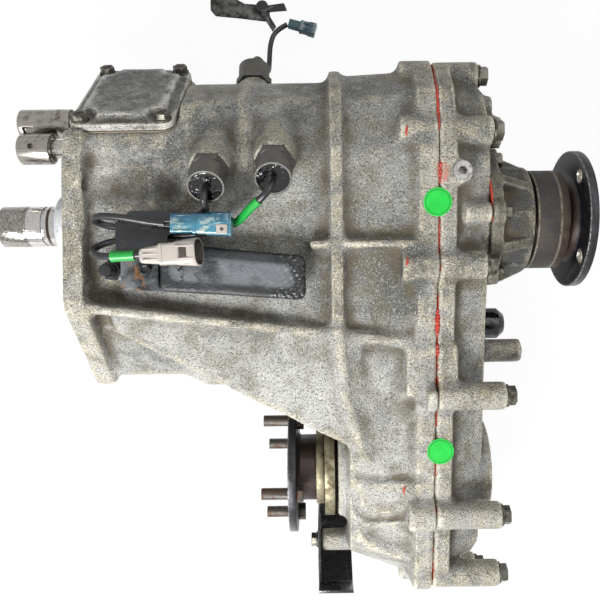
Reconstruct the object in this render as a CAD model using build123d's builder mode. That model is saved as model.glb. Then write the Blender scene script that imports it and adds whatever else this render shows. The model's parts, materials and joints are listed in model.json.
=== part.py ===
from build123d import *

import math
import os

# A chain-drive transfer case: two aluminium castings with a planetary low range, a drive chain,
# two shift rails, two flanged outputs, switches with their leads, and a tuned damper.
# x runs from the gearbox face to the rear output, y to the side of the shift rails, z up.
# The origin is on the main shaft axis, in the plane of the gearbox face. Sizes are millimetres.

os.makedirs("parts", exist_ok=True)

# Shaft layout, as (y, z) places of axes that run along x
LINK_PITCH = 12.5
SPROCKET_TEETH = 20
CHAIN_LINKS = 56
CENTRE_DISTANCE = (CHAIN_LINKS - SPROCKET_TEETH) * LINK_PITCH / 2
FRONT_DROP = 40.0
MAIN = (0.0, 0.0)
FRONT = (-math.sqrt(CENTRE_DISTANCE**2 - FRONT_DROP**2), -FRONT_DROP)
CHAIN_TURN = math.degrees(math.atan2(FRONT[1], FRONT[0]))
CHAIN_ROOM_R = 46.5
RANGE_RAIL = (66.0, 5.0)
DRIVE_RAIL = (94.0, -20.0)

# Case stations along x
GEARBOX_FLANGE_T = 16.0
FRONT_WALL_X = 30.0
WAIST_X = 78.0
BARREL_X = 98.0
PARTITION_X = 226.0
CHAIN_WALL_X = 222.0
CHAMBER_X = 236.0
SPLIT_X = 293.0
FRONT_SPLIT_T = 16.0
REAR_SPLIT_T = 14.0
CHAMBER_END_X = 318.0
REAR_WALL_X = 336.0

# Fits
FIT = 0.3
RUNNING = 0.05
JOINT_GAP = 0.05

# Rails
RAIL_R = 8.0
RANGE_TRAVEL = 17.0
DRIVE_TRAVEL = 14.0
HEAD_R = 13.0
RANGE_HEAD = (-57.0, 28.0)
DRIVE_HEAD = (-67.0, 41.0)
RANGE_RAIL_END_X = 182.0
DRIVE_RAIL_END_X = 225.5
RAIL_WEB = (150.0, 26.0)
FORK_HUB_R = 12.5
FORK_T = 5.6

# Planetary set
MODULE = 2.0
SUN_TEETH = 24
PLANET_TEETH = 9
RING_TEETH = SUN_TEETH + 2 * PLANET_TEETH
PLANETS = 3
PRESSURE = math.radians(25)
ADDENDUM = 0.8
DEDENDUM = 1.05
BACKLASH = 0.24
GEAR_X = 46.0
GEAR_T = 20.0
RING_R = 48.0
PLANET_ORBIT = MODULE * (SUN_TEETH + PLANET_TEETH) / 2
PIN_R = 4.0
CARRIER_R = 45.0
CARRIER_T = 6.0

# Shafts, hubs and bearings
INPUT_R = 17.5
INPUT_FRONT_X = -75.0
INPUT_SPLINE_R = 11.0
INPUT_SPLINE_DEPTH = 44.0
SHAFT_R = 20.0
BEARING_R = 36.0
BEARING_T = 16.0
INPUT_BEARING_X = 8.0
REAR_BEARING_X = CHAMBER_END_X
CLUTCH_R = 24.0
DRIVE_HUB_R = 27.0
SLEEVE_WALL = 7.0
PILOT_R = 10.0
OUTPUT_R = 16.0
FRONT_BEARING_X = 219.0
NOSE_X = 212.0
CHAIN_X = 240.0
CHAIN_W = 24.0
SPROCKET_W = 16.0

# Flanges
REAR_FLANGE_X = 413.0
REAR_FLANGE_R = 58.0
FLANGE_T = 7.0
FLANGE_PCD = 93.3
FLANGE_HOLE_R = 5.75
REAR_HOLE_TURN = 47.0
FRONT_FLANGE_X = 169.0
FRONT_FLANGE_R = 57.0
HUB_R = 29.5
STUD_R = 5.0
STUD_OUT = 23.0
STUD_HEAD_T = 6.0
STUD_SHOULDER_R = 5.5
STUD_TURN = 15.4

# Extension housing
EXTENSION_FLANGE_R = 60.0
EXTENSION_FLANGE_T = 10.0
EXTENSION_END_X = 374.0
EXTENSION_END_R = 45.0
EXTENSION_PCD = 108.0
DEFLECTOR_R = 42.0

# Sheet protector
PROTECTOR_T = 2.5
PROTECTOR_BOSS_X = 196.0
PROTECTOR_BOSS = (-293.0, -52.0)
PROTECTOR_START = PROTECTOR_BOSS_X - JOINT_GAP - PROTECTOR_T
PROTECTOR_END = 226.0

# Side cover over the rails
COVER_TILT = 50.4
COVER_CENTRE = (44.0, 103.4, 13.7)
COVER_LENGTH = 84.0
COVER_HEIGHT = 112.0
COVER_T = 6.0
COVER_CROWN = 5.0
GASKET_T = 1.0
COVER_BOLT_X = 65.0
COVER_BOLT_Y = 95.0
COVER_BOLT_SIZE = 8.0

# Case outlines, as (y, z) corners, counted round from the rail side
GEARBOX_OUTLINE = [(66, 63), (117, 26), (117, -46), (62, -88), (-62, -88), (-122, -64), (-141, -14),
                   (-72, 66), (30, 68)]
FRONT_BARREL = [(86, 48), (114, 16), (114, -42), (60, -82), (-60, -82), (-112, -60), (-134, -14),
                (-66, 44), (-24, 52), (40, 55)]
REAR_BARREL = [(92, 54), (118, 14), (118, -44), (62, -86), (-60, -88), (-114, -70), (-144, -14),
               (-84, 40), (-24, 54), (46, 65)]
CHAIN_FRONT = [(118, 30), (123, 0), (114, -42), (66, -78), (-58, -86), (-146, -98), (-230, -104),
               (-276, -88), (-297, -60), (-298, -36), (-284, -2), (-190, 22), (-92, 37), (-24, 55),
               (46, 66), (92, 55)]
CHAIN_SIDE = [(121, 32), (128, 0), (117, -44), (68, -80), (-60, -90), (-149, -105), (-238, -115),
              (-296, -93), (-322, -58), (-323, -32), (-300, 1), (-192, 25), (-92, 40), (-24, 56),
              (46, 66), (94, 56)]
SPLIT_GROWTH = 6.0
CORNER_R = 10.0
CASE_WALL = 8.0
RAIL_WEB_OUTLINE = [(109, 22), (109, -38), (50, -38), (50, 22)]

# Case bolts: place, end of the boss on the rear casting, start of the boss on the front one
BOSS_R = 11.5
FRONT_BOSS_R = 13.0
CASE_BOLTS = [(117, 26, 332, 266), (64, 58, 336.5, 262), (-41, 54, 331, 264), (-147, 38, 349, 284),
              (-250, 19, 348, 270), (-310, -10, 352, 276), (-322, -62, 343, 270), (-274, -104, 330, 270),
              (-186, -110, 330, 270), (-100, -98, 330, 270), (-8, -86, 330, 270), (84, -72, 330, 270),
              (126, -26, 328, 270)]
CASE_BOLT = 10.0


def save(part, name):
    """Labels a finished piece and writes it as its own file."""
    part.label = name
    export_step(part, f"parts/{name}.step")


def turned(points, centre=MAIN):
    """A solid of revolution about a shaft axis, from its (x, radius) outline."""
    side = Plane(origin=(0, *centre), x_dir=(1, 0, 0), z_dir=(0, 0, 1))
    with BuildPart() as piece:
        with BuildSketch(side):
            with BuildLine():
                Polyline(*points, close=True)
            make_face()
        revolve(axis=Axis((0, *centre), (1, 0, 0)))
    return piece.part


def ring(x, length, inner, outer, centre=MAIN):
    """A plain ring about a shaft axis."""
    return turned([(x, inner), (x + length, inner), (x + length, outer), (x, outer)], centre)


def rod(x, length, radius, centre=MAIN):
    """A cylinder along x."""
    with BuildPart() as piece:
        with BuildSketch(Plane(origin=(x, *centre), x_dir=(0, 1, 0), z_dir=(1, 0, 0))):
            Circle(radius)
        extrude(amount=length)
    return piece.part


def prism(points, x, length, grow=0.0, corner=CORNER_R):
    """A rounded outline in the y-z plane, grown by an offset and extruded along x."""
    with BuildPart() as piece:
        with BuildSketch(Plane.YZ.offset(x)) as face:
            with BuildLine():
                Polyline(*points, close=True)
            make_face()
            fillet(face.vertices(), corner)
            if grow:
                offset(amount=grow)
        extrude(amount=length)
    return piece.part


def lofted(stations, corner=CORNER_R):
    """A ruled casting wall through rounded outlines, each an (x, corners) pair."""
    with BuildPart() as piece:
        for x, points in stations:
            with BuildSketch(Plane.YZ.offset(x)) as face:
                with BuildLine():
                    Polyline(*points, close=True)
                make_face()
                if corner:
                    fillet(face.vertices(), corner)
        loft(ruled=True)
    return piece.part


def hex_head(seat, size, washer=True):
    """A hexagon head with a flange, standing on a plane."""
    across = 1.4 * size
    head_t = 0.6 * size
    flange_t = 0.18 * size if washer else 0.0
    with BuildPart() as head:
        if washer:
            with BuildSketch(seat):
                Circle(across * 0.66)
            extrude(amount=flange_t)
        with BuildSketch(seat.offset(flange_t)):
            RegularPolygon(across / 2, 6, major_radius=False)
        extrude(amount=head_t)
    return head.part


def bolt(seat, length, size, washer=True):
    """A bolt whose head stands on a plane and whose shank goes down behind it."""
    with BuildPart() as piece:
        add(hex_head(seat, size, washer))
        with BuildSketch(seat):
            Circle(size / 2 - RUNNING)
        extrude(amount=-length)
    return piece.part


def across(x, centre, direction=1, turn=0.0):
    """A plane square to the shafts, facing rearward or, with -1, forward."""
    angle = math.radians(turn)
    return Plane(origin=(x, *centre), x_dir=(0, math.cos(angle), math.sin(angle)), z_dir=(direction, 0, 0))


def on_circle(centre, radius, count, turn):
    """The (y, z) places of a bolt circle about a shaft."""
    angles = [math.radians(turn + 360 * number / count) for number in range(count)]
    return [(centre[0] + radius * math.cos(a), centre[1] + radius * math.sin(a)) for a in angles]


# Gears
def involute(angle):
    return math.tan(angle) - angle


def gear_points(teeth, internal=False):
    """The outline of an involute gear with a tooth at angle 0, or an internal gear with a gap there."""
    pitch_r = MODULE * teeth / 2
    base_r = pitch_r * math.cos(PRESSURE)
    side = -1 if internal else 1
    tip_r = pitch_r + side * ADDENDUM * MODULE
    root_r = pitch_r - side * DEDENDUM * MODULE
    half = math.pi / (2 * teeth) - side * BACKLASH / (4 * pitch_r)
    radii = [min(tip_r, root_r), pitch_r, max(tip_r, root_r)]
    points = []
    for tooth in range(teeth):
        centre = 2 * math.pi * tooth / teeth
        for sign, order in ((-1, radii), (1, radii[::-1])):
            for radius in order:
                rolled = involute(math.acos(min(1.0, base_r / radius)))
                angle = centre + sign * (half + involute(PRESSURE) - rolled)
                points.append((radius * math.cos(angle), radius * math.sin(angle)))
    return points


def toothed(points, x, length, bore, centre=MAIN, turn=0.0):
    """A toothed wheel along x, with a plain bore."""
    with BuildPart() as piece:
        with BuildSketch(across(x, centre, turn=turn)):
            with BuildLine():
                Polyline(*points, close=True)
            make_face()
            Circle(bore, mode=Mode.SUBTRACT)
        extrude(amount=length)
    return piece.part


# Front casting
COVER_PLANE = Plane(origin=COVER_CENTRE, x_dir=(1, 0, 0), z_dir=(0, math.sin(math.radians(COVER_TILT)),
                                                                math.cos(math.radians(COVER_TILT))))
PAD_DEPTH = 34.0
GALLERY = [(107.5, 18.5), (107.5, -33.5), (30, -33.5), (30, 18.5)]
GEAR_BORE_R = RING_R + FIT
SWITCHES = [(117.0, 53.0, 58.0), (166.5, 58.0, 60.0)]
SWITCH_TILT = 43.0
SWITCH_BOSS_R = 14.5
SWITCH_LIFT = 20.0
SWITCH_THREAD_R = 8.0
SIDE_SWITCH = (143.0, 113.0, -4.0)
SIDE_SWITCH_TILT = 110.0
SIDE_SWITCH_LIFT = 10.6
STUD_FEET = [(34.0, -42.0)]
STUD_FOOT_Z = 50.0
DAMPER_FEET = [(66.0, -42.0), (164.0, -51.0)]
DAMPER_BASE_Z = 55.0
LUG_HOLES = [(104, -3), (98, -36), (-50, -78), (-116, -36), (-56, 57)]
LUG_HOLE_R = 4.5
GEARBOX_PCD = 127.2
GEARBOX_HOLE_TURN = 66.9
GEARBOX_HOLE_DEPTH = 18.0


def switch_plane(place, tilt, lift=0.0):
    """The seat of a switch: a plane tilted about x, lifted along its own axis."""
    turn = math.radians(tilt)
    normal = (0, -math.sin(turn), math.cos(turn))
    origin = tuple(place[i] + lift * normal[i] for i in range(3))
    return Plane(origin=origin, x_dir=(1, 0, 0), z_dir=normal)


SWITCH_SEATS = [switch_plane(place, SWITCH_TILT, SWITCH_LIFT) for place in SWITCHES]
SIDE_SEAT = switch_plane(SIDE_SWITCH, -SIDE_SWITCH_TILT, SIDE_SWITCH_LIFT)


def rib(start, end, half_width, depth):
    """A cast rib between two (x, y, z) crest points, tapered towards its crest."""
    with BuildPart() as piece:
        for x, y, z in (start, end):
            with BuildSketch(Plane.YZ.offset(x)):
                with BuildLine():
                    Polyline((y - half_width, z - depth), (y + half_width, z - depth),
                             (y + half_width * 0.7, z), (y - half_width * 0.7, z), close=True)
                make_face()
        loft(ruled=True)
    return piece.part


SEAM_PAD = [(-106, 46.5), (-147, 43), (-147, 24), (-106, 28)]
SEAM_PAD_X = (267.5, 310.0)
SEAM_POCKET = [(-112, 60), (-141, 60), (-141, 40.5), (-112, 43)]
PANEL_FRONT = [(-222, 17), (-255, 8.5), (-255, -6), (-222, 2)]
PANEL_REAR = [(-222, 21), (-255, 14), (-255, 0), (-222, 6)]


def front_casting():
    with BuildPart() as case:
        add(prism(GEARBOX_OUTLINE, 0, GEARBOX_FLANGE_T))
        add(lofted([(GEARBOX_FLANGE_T - 4, FRONT_BARREL), (WAIST_X, FRONT_BARREL),
                    (BARREL_X, REAR_BARREL), (CHAMBER_X + 4, REAR_BARREL)]))
        add(lofted([(CHAIN_WALL_X, CHAIN_FRONT), (SPLIT_X, CHAIN_SIDE)]))
        add(prism(CHAIN_SIDE, SPLIT_X - FRONT_SPLIT_T, FRONT_SPLIT_T, SPLIT_GROWTH))
        for y, z, _, start in CASE_BOLTS:
            add(rod(start, SPLIT_X - start, FRONT_BOSS_R, (y, z)))
        # The side pad that the cover closes
        with BuildSketch(COVER_PLANE.offset(-GASKET_T)):
            RectangleRounded(COVER_LENGTH, COVER_HEIGHT, 12)
        extrude(amount=-PAD_DEPTH)
        # The sloping roof from the ridge out to the chain case
        add(lofted([(30, [(-62, 40), (-70, 50), (-92, 32), (-88, 22)]),
                    (CHAIN_WALL_X + 10, [(-80, 0), (-98, 46), (-197, 20), (-190, -12)])], 0))
        # Ribs: the ridge, the long rib and the bars round the barrel
        add(rib((8, -70, 62), (SPLIT_X - 8, -104, 42), 5, 16))
        add(rib((192, -24, 67), (SPLIT_X - 10, -24, 63), 4, 14))
        for x, width, grow, low_y in ((137, 8, 4, 36), (208, 10, 9, -92)):
            add(hoop(x, width, grow, low_y))
        add(shoulder())
        # The pad across the seam and the raised panel between the beads
        add(lofted([(SEAM_PAD_X[0], SEAM_PAD), (SPLIT_X, SEAM_PAD)], 3))
        add(lofted([(229, PANEL_FRONT), (281, PANEL_REAR)], 2))
        # Front output nose, protector boss and switch bosses
        add(rod(NOSE_X, CHAMBER_X - NOSE_X + 3, 44, FRONT))
        add(rod(PROTECTOR_BOSS_X, CHAIN_WALL_X + 8 - PROTECTOR_BOSS_X, 10, PROTECTOR_BOSS))
        for seat in SWITCH_SEATS:
            with BuildSketch(seat):
                Circle(SWITCH_BOSS_R)
            extrude(amount=-34)
        with BuildSketch(SIDE_SEAT):
            Circle(SWITCH_BOSS_R - 1)
        extrude(amount=-22)
        for x, y in DAMPER_FEET:
            with BuildSketch(Plane.XY.offset(DAMPER_BASE_Z - FIT)):
                with Locations((x, y)):
                    Circle(9)
            extrude(amount=-24)
        for x, y in STUD_FEET:
            with BuildSketch(Plane.XY.offset(STUD_FOOT_Z)):
                with Locations((x, y)):
                    Circle(8)
            extrude(amount=-14)
        # The flat that the cover lies on
        with BuildSketch(COVER_PLANE.offset(-GASKET_T)):
            Rectangle(COVER_LENGTH + 6, COVER_HEIGHT + 2)
        extrude(amount=40, mode=Mode.SUBTRACT)
        add(lofted([(283, SEAM_POCKET), (SPLIT_X + 1, SEAM_POCKET)], 0), mode=Mode.SUBTRACT)
        # Hollows: gear bore, sleeve chamber, rail gallery and chain chamber
        add(rod(FRONT_WALL_X, PARTITION_X - FRONT_WALL_X, GEAR_BORE_R), mode=Mode.SUBTRACT)
        add(prism(GALLERY, FRONT_WALL_X, PARTITION_X - FRONT_WALL_X, corner=8), mode=Mode.SUBTRACT)
        add(prism(FRONT_BARREL, WAIST_X, PARTITION_X - WAIST_X, -CASE_WALL), mode=Mode.SUBTRACT)
        add(prism(CHAIN_FRONT, CHAMBER_X, SPLIT_X - CHAMBER_X + 1, -CASE_WALL), mode=Mode.SUBTRACT)
        add(chain_room(CHAMBER_X, SPLIT_X - CHAMBER_X + 1), mode=Mode.SUBTRACT)
        add(prism(RAIL_WEB_OUTLINE, RAIL_WEB[0], RAIL_WEB[1], corner=4))
        add(rod(PARTITION_X - 1, CHAMBER_X - PARTITION_X + 2, DRIVE_HUB_R + SLEEVE_WALL + 2),
            mode=Mode.SUBTRACT)
        add(rod(-1, INPUT_BEARING_X + BEARING_T + 1, BEARING_R + RUNNING), mode=Mode.SUBTRACT)
        add(rod(20, 14, SHAFT_R + 6), mode=Mode.SUBTRACT)
        add(rod(NOSE_X - 1, 40, BEARING_R + RUNNING, FRONT), mode=Mode.SUBTRACT)
        for centre in (RANGE_RAIL, DRIVE_RAIL):
            add(rod(-5, FRONT_WALL_X + 10, RAIL_R + RUNNING, centre), mode=Mode.SUBTRACT)
            add(rod(RAIL_WEB[0] - 1, RAIL_WEB[1] + 2, RAIL_R + RUNNING, centre), mode=Mode.SUBTRACT)
        # Holes for bolts, switches and the damper
        for y, z, _, start in CASE_BOLTS:
            add(rod(start + 6, SPLIT_X - start, CASE_BOLT / 2, (y, z)), mode=Mode.SUBTRACT)
        for y, z in LUG_HOLES:
            add(rod(-1, GEARBOX_FLANGE_T + 2, LUG_HOLE_R, (y, z)), mode=Mode.SUBTRACT)
        for hole in on_circle(MAIN, GEARBOX_PCD / 2, 4, GEARBOX_HOLE_TURN):
            add(rod(-1, GEARBOX_HOLE_DEPTH + 1, LUG_HOLE_R, hole), mode=Mode.SUBTRACT)
        for seat in SWITCH_SEATS + [SIDE_SEAT]:
            with BuildSketch(seat):
                Circle(SWITCH_THREAD_R)
            extrude(amount=-48, mode=Mode.SUBTRACT)
        with BuildSketch(COVER_PLANE):
            with GridLocations(COVER_BOLT_X, COVER_BOLT_Y, 2, 2):
                Circle(COVER_BOLT_SIZE / 2)
        extrude(amount=-24, mode=Mode.SUBTRACT)
        with BuildSketch(COVER_PLANE):
            RectangleRounded(COVER_LENGTH - 38, COVER_HEIGHT - 46, 8)
        extrude(amount=-26, mode=Mode.SUBTRACT)
        for x, y in DAMPER_FEET:
            with BuildSketch(Plane.XY.offset(DAMPER_BASE_Z)):
                with Locations((x, y)):
                    Circle(3)
            extrude(amount=-16, mode=Mode.SUBTRACT)
        add(rod(PROTECTOR_BOSS_X - 1, 22, 4, PROTECTOR_BOSS), mode=Mode.SUBTRACT)
    return case.part


def chain_room(x, length):
    """The room that the chain and its two wheels run in."""
    middle = ((MAIN[0] + FRONT[0]) / 2, (MAIN[1] + FRONT[1]) / 2)
    with BuildPart() as piece:
        with BuildSketch(across(x, middle, turn=CHAIN_TURN)):
            SlotCenterToCenter(CENTRE_DISTANCE, 2 * CHAIN_ROOM_R)
        extrude(amount=length)
    return piece.part


def hoop(x, width, grow, low_y):
    """A bar round the upper side of the barrel, ending at a given y."""
    with BuildPart() as piece:
        add(prism(REAR_BARREL, x, width, grow))
        with BuildSketch(Plane.YZ.offset(x - 1)):
            with Locations((low_y + 150, 60)):
                Rectangle(300, 132)
        extrude(amount=width + 2, mode=Mode.INTERSECT)
    return piece.part


def shoulder():
    """The ridge where the sloping roof turns into the side of the chain case."""
    with BuildPart() as piece:
        for y, x, z in ((-92, 213, 52), (-150, 219, 37), (-204, 236, 24)):
            with BuildSketch(Plane(origin=(x, y, z), x_dir=(1, 0, 0), z_dir=(0, -1, 0))):
                with BuildLine():
                    Polyline((-7, -16), (7, -16), (4, 0), (-4, 0), close=True)
                make_face()
        loft(ruled=True)
    return piece.part


front_case = front_casting()
save(front_case, "front_case")

# Rear casting and extension housing
CHAIN_REAR = [(104, 28), (110, 0), (100, -36), (58, -66), (-60, -76), (-148, -90), (-234, -98),
              (-280, -80), (-300, -54), (-301, -40), (-282, -12), (-190, 10), (-92, 28), (-24, 46),
              (42, 55), (84, 44)]
PLAIN_BOSSES = [((92, 20), 344, 10), ((70, 26), 350, 13), ((-113, 2), 371, 10), ((-190, -60), 346, 9)]
FILLER = (309.5, 30.5)
FILLER_Z = 71.0
PLUG_R = 5.8
EXTENSION_X = REAR_WALL_X + JOINT_GAP
EXTENSION_BOLT = 8.0
SENSOR = (-91.0, -45.0)
DRAIN = (309.5, -221.0)
DRAIN_Z = -126.0


def radial(angle, centre=MAIN):
    """A plane through a shaft axis whose y direction points outwards at an angle."""
    turn = math.radians(angle)
    return Plane(origin=(0, *centre), x_dir=(1, 0, 0), z_dir=(0, -math.sin(turn), math.cos(turn)))


def web(angle, points, thickness, centre=MAIN):
    """A flat rib that stands out from a shaft axis, from its (x, radius) outline."""
    with BuildPart() as piece:
        with BuildSketch(radial(angle, centre)):
            with BuildLine():
                Polyline(*points, close=True)
            make_face()
        extrude(amount=thickness / 2, both=True)
    return piece.part


def rear_casting():
    start = SPLIT_X + JOINT_GAP
    with BuildPart() as case:
        add(prism(CHAIN_SIDE, start, REAR_SPLIT_T, SPLIT_GROWTH))
        add(lofted([(start, CHAIN_SIDE), (REAR_WALL_X, CHAIN_REAR)]))
        for y, z, end, _ in CASE_BOLTS:
            add(rod(start, end - start, BOSS_R, (y, z)))
        add(rod(start, REAR_WALL_X - start, BEARING_R + 16))
        add(lofted([(start, SEAM_PAD), (SEAM_PAD_X[1], SEAM_PAD)], 3))
        add(rod(CHAMBER_END_X, 28, BEARING_R + 8, FRONT))
        for place, end, radius in PLAIN_BOSSES:
            add(rod(start, end - start, radius, place))
        with BuildSketch(Plane.XY.offset(FILLER_Z)):
            with Locations(FILLER):
                Circle(PLUG_R + 3.5)
        extrude(amount=-30)
        with BuildSketch(Plane.XY.offset(DRAIN_Z)):
            with Locations(DRAIN):
                Circle(PLUG_R + 3.5)
        extrude(amount=26)
        for centre in (MAIN, FRONT):
            add(rod(start - 1, CHAMBER_END_X - start + 1, DRIVE_HUB_R + 5, centre), mode=Mode.SUBTRACT)
        add(prism(CHAIN_REAR, start - 1, CHAMBER_END_X - start + 1, -CASE_WALL), mode=Mode.SUBTRACT)
        add(rod(CHAMBER_END_X - 1, 30, BEARING_R + RUNNING), mode=Mode.SUBTRACT)
        add(rod(CHAMBER_END_X - 1, BEARING_T + 2, BEARING_R + RUNNING, FRONT), mode=Mode.SUBTRACT)
        for y, z, end, _ in CASE_BOLTS:
            add(rod(start - 1, end - start + 2, CASE_BOLT / 2 + FIT, (y, z)), mode=Mode.SUBTRACT)
        for centre in on_circle(MAIN, EXTENSION_PCD / 2, 6, 30):
            add(rod(REAR_WALL_X - 14, 15, EXTENSION_BOLT / 2, centre), mode=Mode.SUBTRACT)
        add(rod(REAR_WALL_X - 20, 24, 6, SENSOR), mode=Mode.SUBTRACT)
        for place, z, depth in ((FILLER, FILLER_Z, -30), (DRAIN, DRAIN_Z, 26)):
            with BuildSketch(Plane.XY.offset(z)):
                with Locations(place):
                    Circle(PLUG_R - 1)
            extrude(amount=depth, mode=Mode.SUBTRACT)
    return case.part


rear_case = rear_casting()
save(rear_case, "rear_case")

with BuildPart() as extension_housing:
    add(turned([(EXTENSION_X, BEARING_R - 3), (352, BEARING_R - 3), (357, BEARING_R + 2 + RUNNING),
                (EXTENSION_END_X, BEARING_R + 2 + RUNNING), (EXTENSION_END_X, EXTENSION_END_R),
                (366, EXTENSION_END_R), (352, EXTENSION_END_R + 1), (346, EXTENSION_END_R + 1),
                (346, EXTENSION_FLANGE_R - 4), (EXTENSION_X, EXTENSION_FLANGE_R - 4)]))
    for bolt_centre in on_circle(MAIN, EXTENSION_PCD / 2, 6, 30):
        add(rod(EXTENSION_X, 346 - EXTENSION_X, 9.5, bolt_centre))
    for angle in range(0, 360, 60):
        add(web(angle, [(340, 40), (340, EXTENSION_FLANGE_R - 4), (348, EXTENSION_FLANGE_R - 4),
                        (371, EXTENSION_END_R + 1), (371, 40)], 9))
    for angle in range(30, 360, 60):
        add(web(angle, [(345, 40), (345, 47), (371, 47), (371, 40)], 5))
    for bolt_centre in on_circle(MAIN, EXTENSION_PCD / 2, 6, 30):
        add(rod(EXTENSION_X - 1, 20, EXTENSION_BOLT / 2 + FIT, bolt_centre), mode=Mode.SUBTRACT)
save(extension_housing.part, "extension_housing")

# Bolts that hold the castings
with BuildPart() as case_bolts:
    for y, z, end, start in CASE_BOLTS:
        add(bolt(across(end + JOINT_GAP, (y, z)), end - start - 10, CASE_BOLT))
save(case_bolts.part, "case_bolts")

with BuildPart() as extension_bolts:
    for bolt_centre in on_circle(MAIN, EXTENSION_PCD / 2, 6, 30):
        add(bolt(across(346 + JOINT_GAP, bolt_centre), 20, EXTENSION_BOLT, washer=False))
save(extension_bolts.part, "extension_bolts")

with BuildPart() as oil_plugs:
    for place, z, up in ((FILLER, FILLER_Z, 1), (DRAIN, DRAIN_Z, -1)):
        seat = Plane(origin=(*place, z + up * JOINT_GAP), x_dir=(1, 0, 0), z_dir=(0, 0, up))
        with BuildSketch(seat):
            Circle(PLUG_R + 1.5)
        extrude(amount=4)
        with BuildSketch(seat):
            Circle(PLUG_R - 1 - RUNNING)
        extrude(amount=-12)
        with BuildSketch(seat.offset(4)):
            RegularPolygon(3, 6, major_radius=False)
        extrude(amount=-8, mode=Mode.SUBTRACT)
save(oil_plugs.part, "oil_plugs")

# Side cover over the shift rails
with BuildPart() as side_cover:
    with BuildSketch(COVER_PLANE):
        RectangleRounded(COVER_LENGTH, COVER_HEIGHT, 12)
    extrude(amount=COVER_T)
    with BuildSketch(COVER_PLANE.offset(COVER_T)):
        RectangleRounded(COVER_LENGTH - 12, COVER_HEIGHT - 14, 10)
        with GridLocations(COVER_BOLT_X, COVER_BOLT_Y, 2, 2):
            Circle(11, mode=Mode.SUBTRACT)
    extrude(amount=COVER_CROWN, taper=32)
    with BuildSketch(COVER_PLANE):
        with GridLocations(COVER_BOLT_X, COVER_BOLT_Y, 2, 2):
            Circle(COVER_BOLT_SIZE / 2 + FIT)
    extrude(amount=COVER_T, mode=Mode.SUBTRACT)
save(side_cover.part, "side_cover")

with BuildPart() as side_cover_gasket:
    with BuildSketch(COVER_PLANE.offset(JOINT_GAP - GASKET_T)):
        RectangleRounded(COVER_LENGTH, COVER_HEIGHT, 12)
        RectangleRounded(COVER_LENGTH - 38, COVER_HEIGHT - 46, 8, mode=Mode.SUBTRACT)
        with GridLocations(COVER_BOLT_X, COVER_BOLT_Y, 2, 2):
            Circle(COVER_BOLT_SIZE / 2 + FIT, mode=Mode.SUBTRACT)
    extrude(amount=GASKET_T - 2 * JOINT_GAP)
save(side_cover_gasket.part, "side_cover_gasket")

with BuildPart() as m8_bolts:
    for x in (-COVER_BOLT_X / 2, COVER_BOLT_X / 2):
        for y in (-COVER_BOLT_Y / 2, COVER_BOLT_Y / 2):
            seat = COVER_PLANE.offset(COVER_T + JOINT_GAP)
            place = seat.from_local_coords((x, y, 0))
            add(bolt(Plane(origin=place, x_dir=(1, 0, 0), z_dir=seat.z_dir), 20, COVER_BOLT_SIZE))
    add(bolt(across(PROTECTOR_START - JOINT_GAP, PROTECTOR_BOSS, -1), 18, COVER_BOLT_SIZE))
save(m8_bolts.part, "m8_bolts")

# Input side
input_retainer = turned([(-30, INPUT_R + 0.5), (-30, 21), (-16, 28), (-0.5, 30), (0, BEARING_R),
                         (INPUT_BEARING_X - RUNNING, BEARING_R), (INPUT_BEARING_X - RUNNING, SHAFT_R + FIT),
                         (2, SHAFT_R + FIT), (2, INPUT_R + 0.5)])
save(input_retainer, "input_retainer")

CLUTCH_X = 92.0
CLUTCH_T = 6.0
with BuildPart() as input_shaft:
    add(turned([(INPUT_FRONT_X, INPUT_SPLINE_R), (INPUT_FRONT_X, INPUT_R - 2), (INPUT_FRONT_X + 2, INPUT_R),
                (-52, INPUT_R), (-52, INPUT_R - 0.3), (-37, INPUT_R - 0.3), (-37, INPUT_R - 1.5),
                (-34.5, INPUT_R - 1.5), (-34.5, INPUT_R - 0.3), (INPUT_BEARING_X - 1, INPUT_R - 0.3),
                (INPUT_BEARING_X - 1, SHAFT_R), (GEAR_X, SHAFT_R), (GEAR_X, SHAFT_R + 1),
                (GEAR_X + GEAR_T, SHAFT_R + 1), (GEAR_X + GEAR_T, SHAFT_R), (CLUTCH_X, SHAFT_R),
                (CLUTCH_X, CLUTCH_R), (CLUTCH_X + CLUTCH_T, CLUTCH_R), (CLUTCH_X + CLUTCH_T, PILOT_R),
                (CLUTCH_X - 16, PILOT_R), (CLUTCH_X - 16, 0), (INPUT_FRONT_X + INPUT_SPLINE_DEPTH, 0),
                (INPUT_FRONT_X + INPUT_SPLINE_DEPTH, INPUT_SPLINE_R)]))
    add(toothed(gear_points(SUN_TEETH), GEAR_X, GEAR_T, SHAFT_R))
save(input_shaft.part, "input_shaft")


def bearing(x, centre=MAIN):
    """A sealed ball bearing: outer ring, seal and inner ring."""
    with BuildPart() as piece:
        add(ring(x, BEARING_T, SHAFT_R + RUNNING, SHAFT_R + 4, centre))
        add(ring(x + 0.8, BEARING_T - 1.6, SHAFT_R + 4.2, BEARING_R - 4.2, centre))
        add(ring(x, BEARING_T, BEARING_R - 4, BEARING_R, centre))
    return piece.part


save(bearing(INPUT_BEARING_X), "input_bearing")
save(bearing(CHAMBER_END_X + RUNNING), "rear_output_bearing")
with BuildPart() as front_output_bearings:
    add(bearing(FRONT_BEARING_X, FRONT))
    add(bearing(CHAMBER_END_X + RUNNING, FRONT))
save(front_output_bearings.part, "front_output_bearings")

# Planetary set
with BuildPart() as ring_gear:
    add(ring(GEAR_X, GEAR_T, MODULE * RING_TEETH / 2 - 4, RING_R))
    with BuildSketch(across(GEAR_X, MAIN, turn=180 / RING_TEETH)):
        with BuildLine():
            Polyline(*gear_points(RING_TEETH, internal=True), close=True)
        make_face()
    extrude(amount=GEAR_T, mode=Mode.SUBTRACT)
save(ring_gear.part, "ring_gear")

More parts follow.
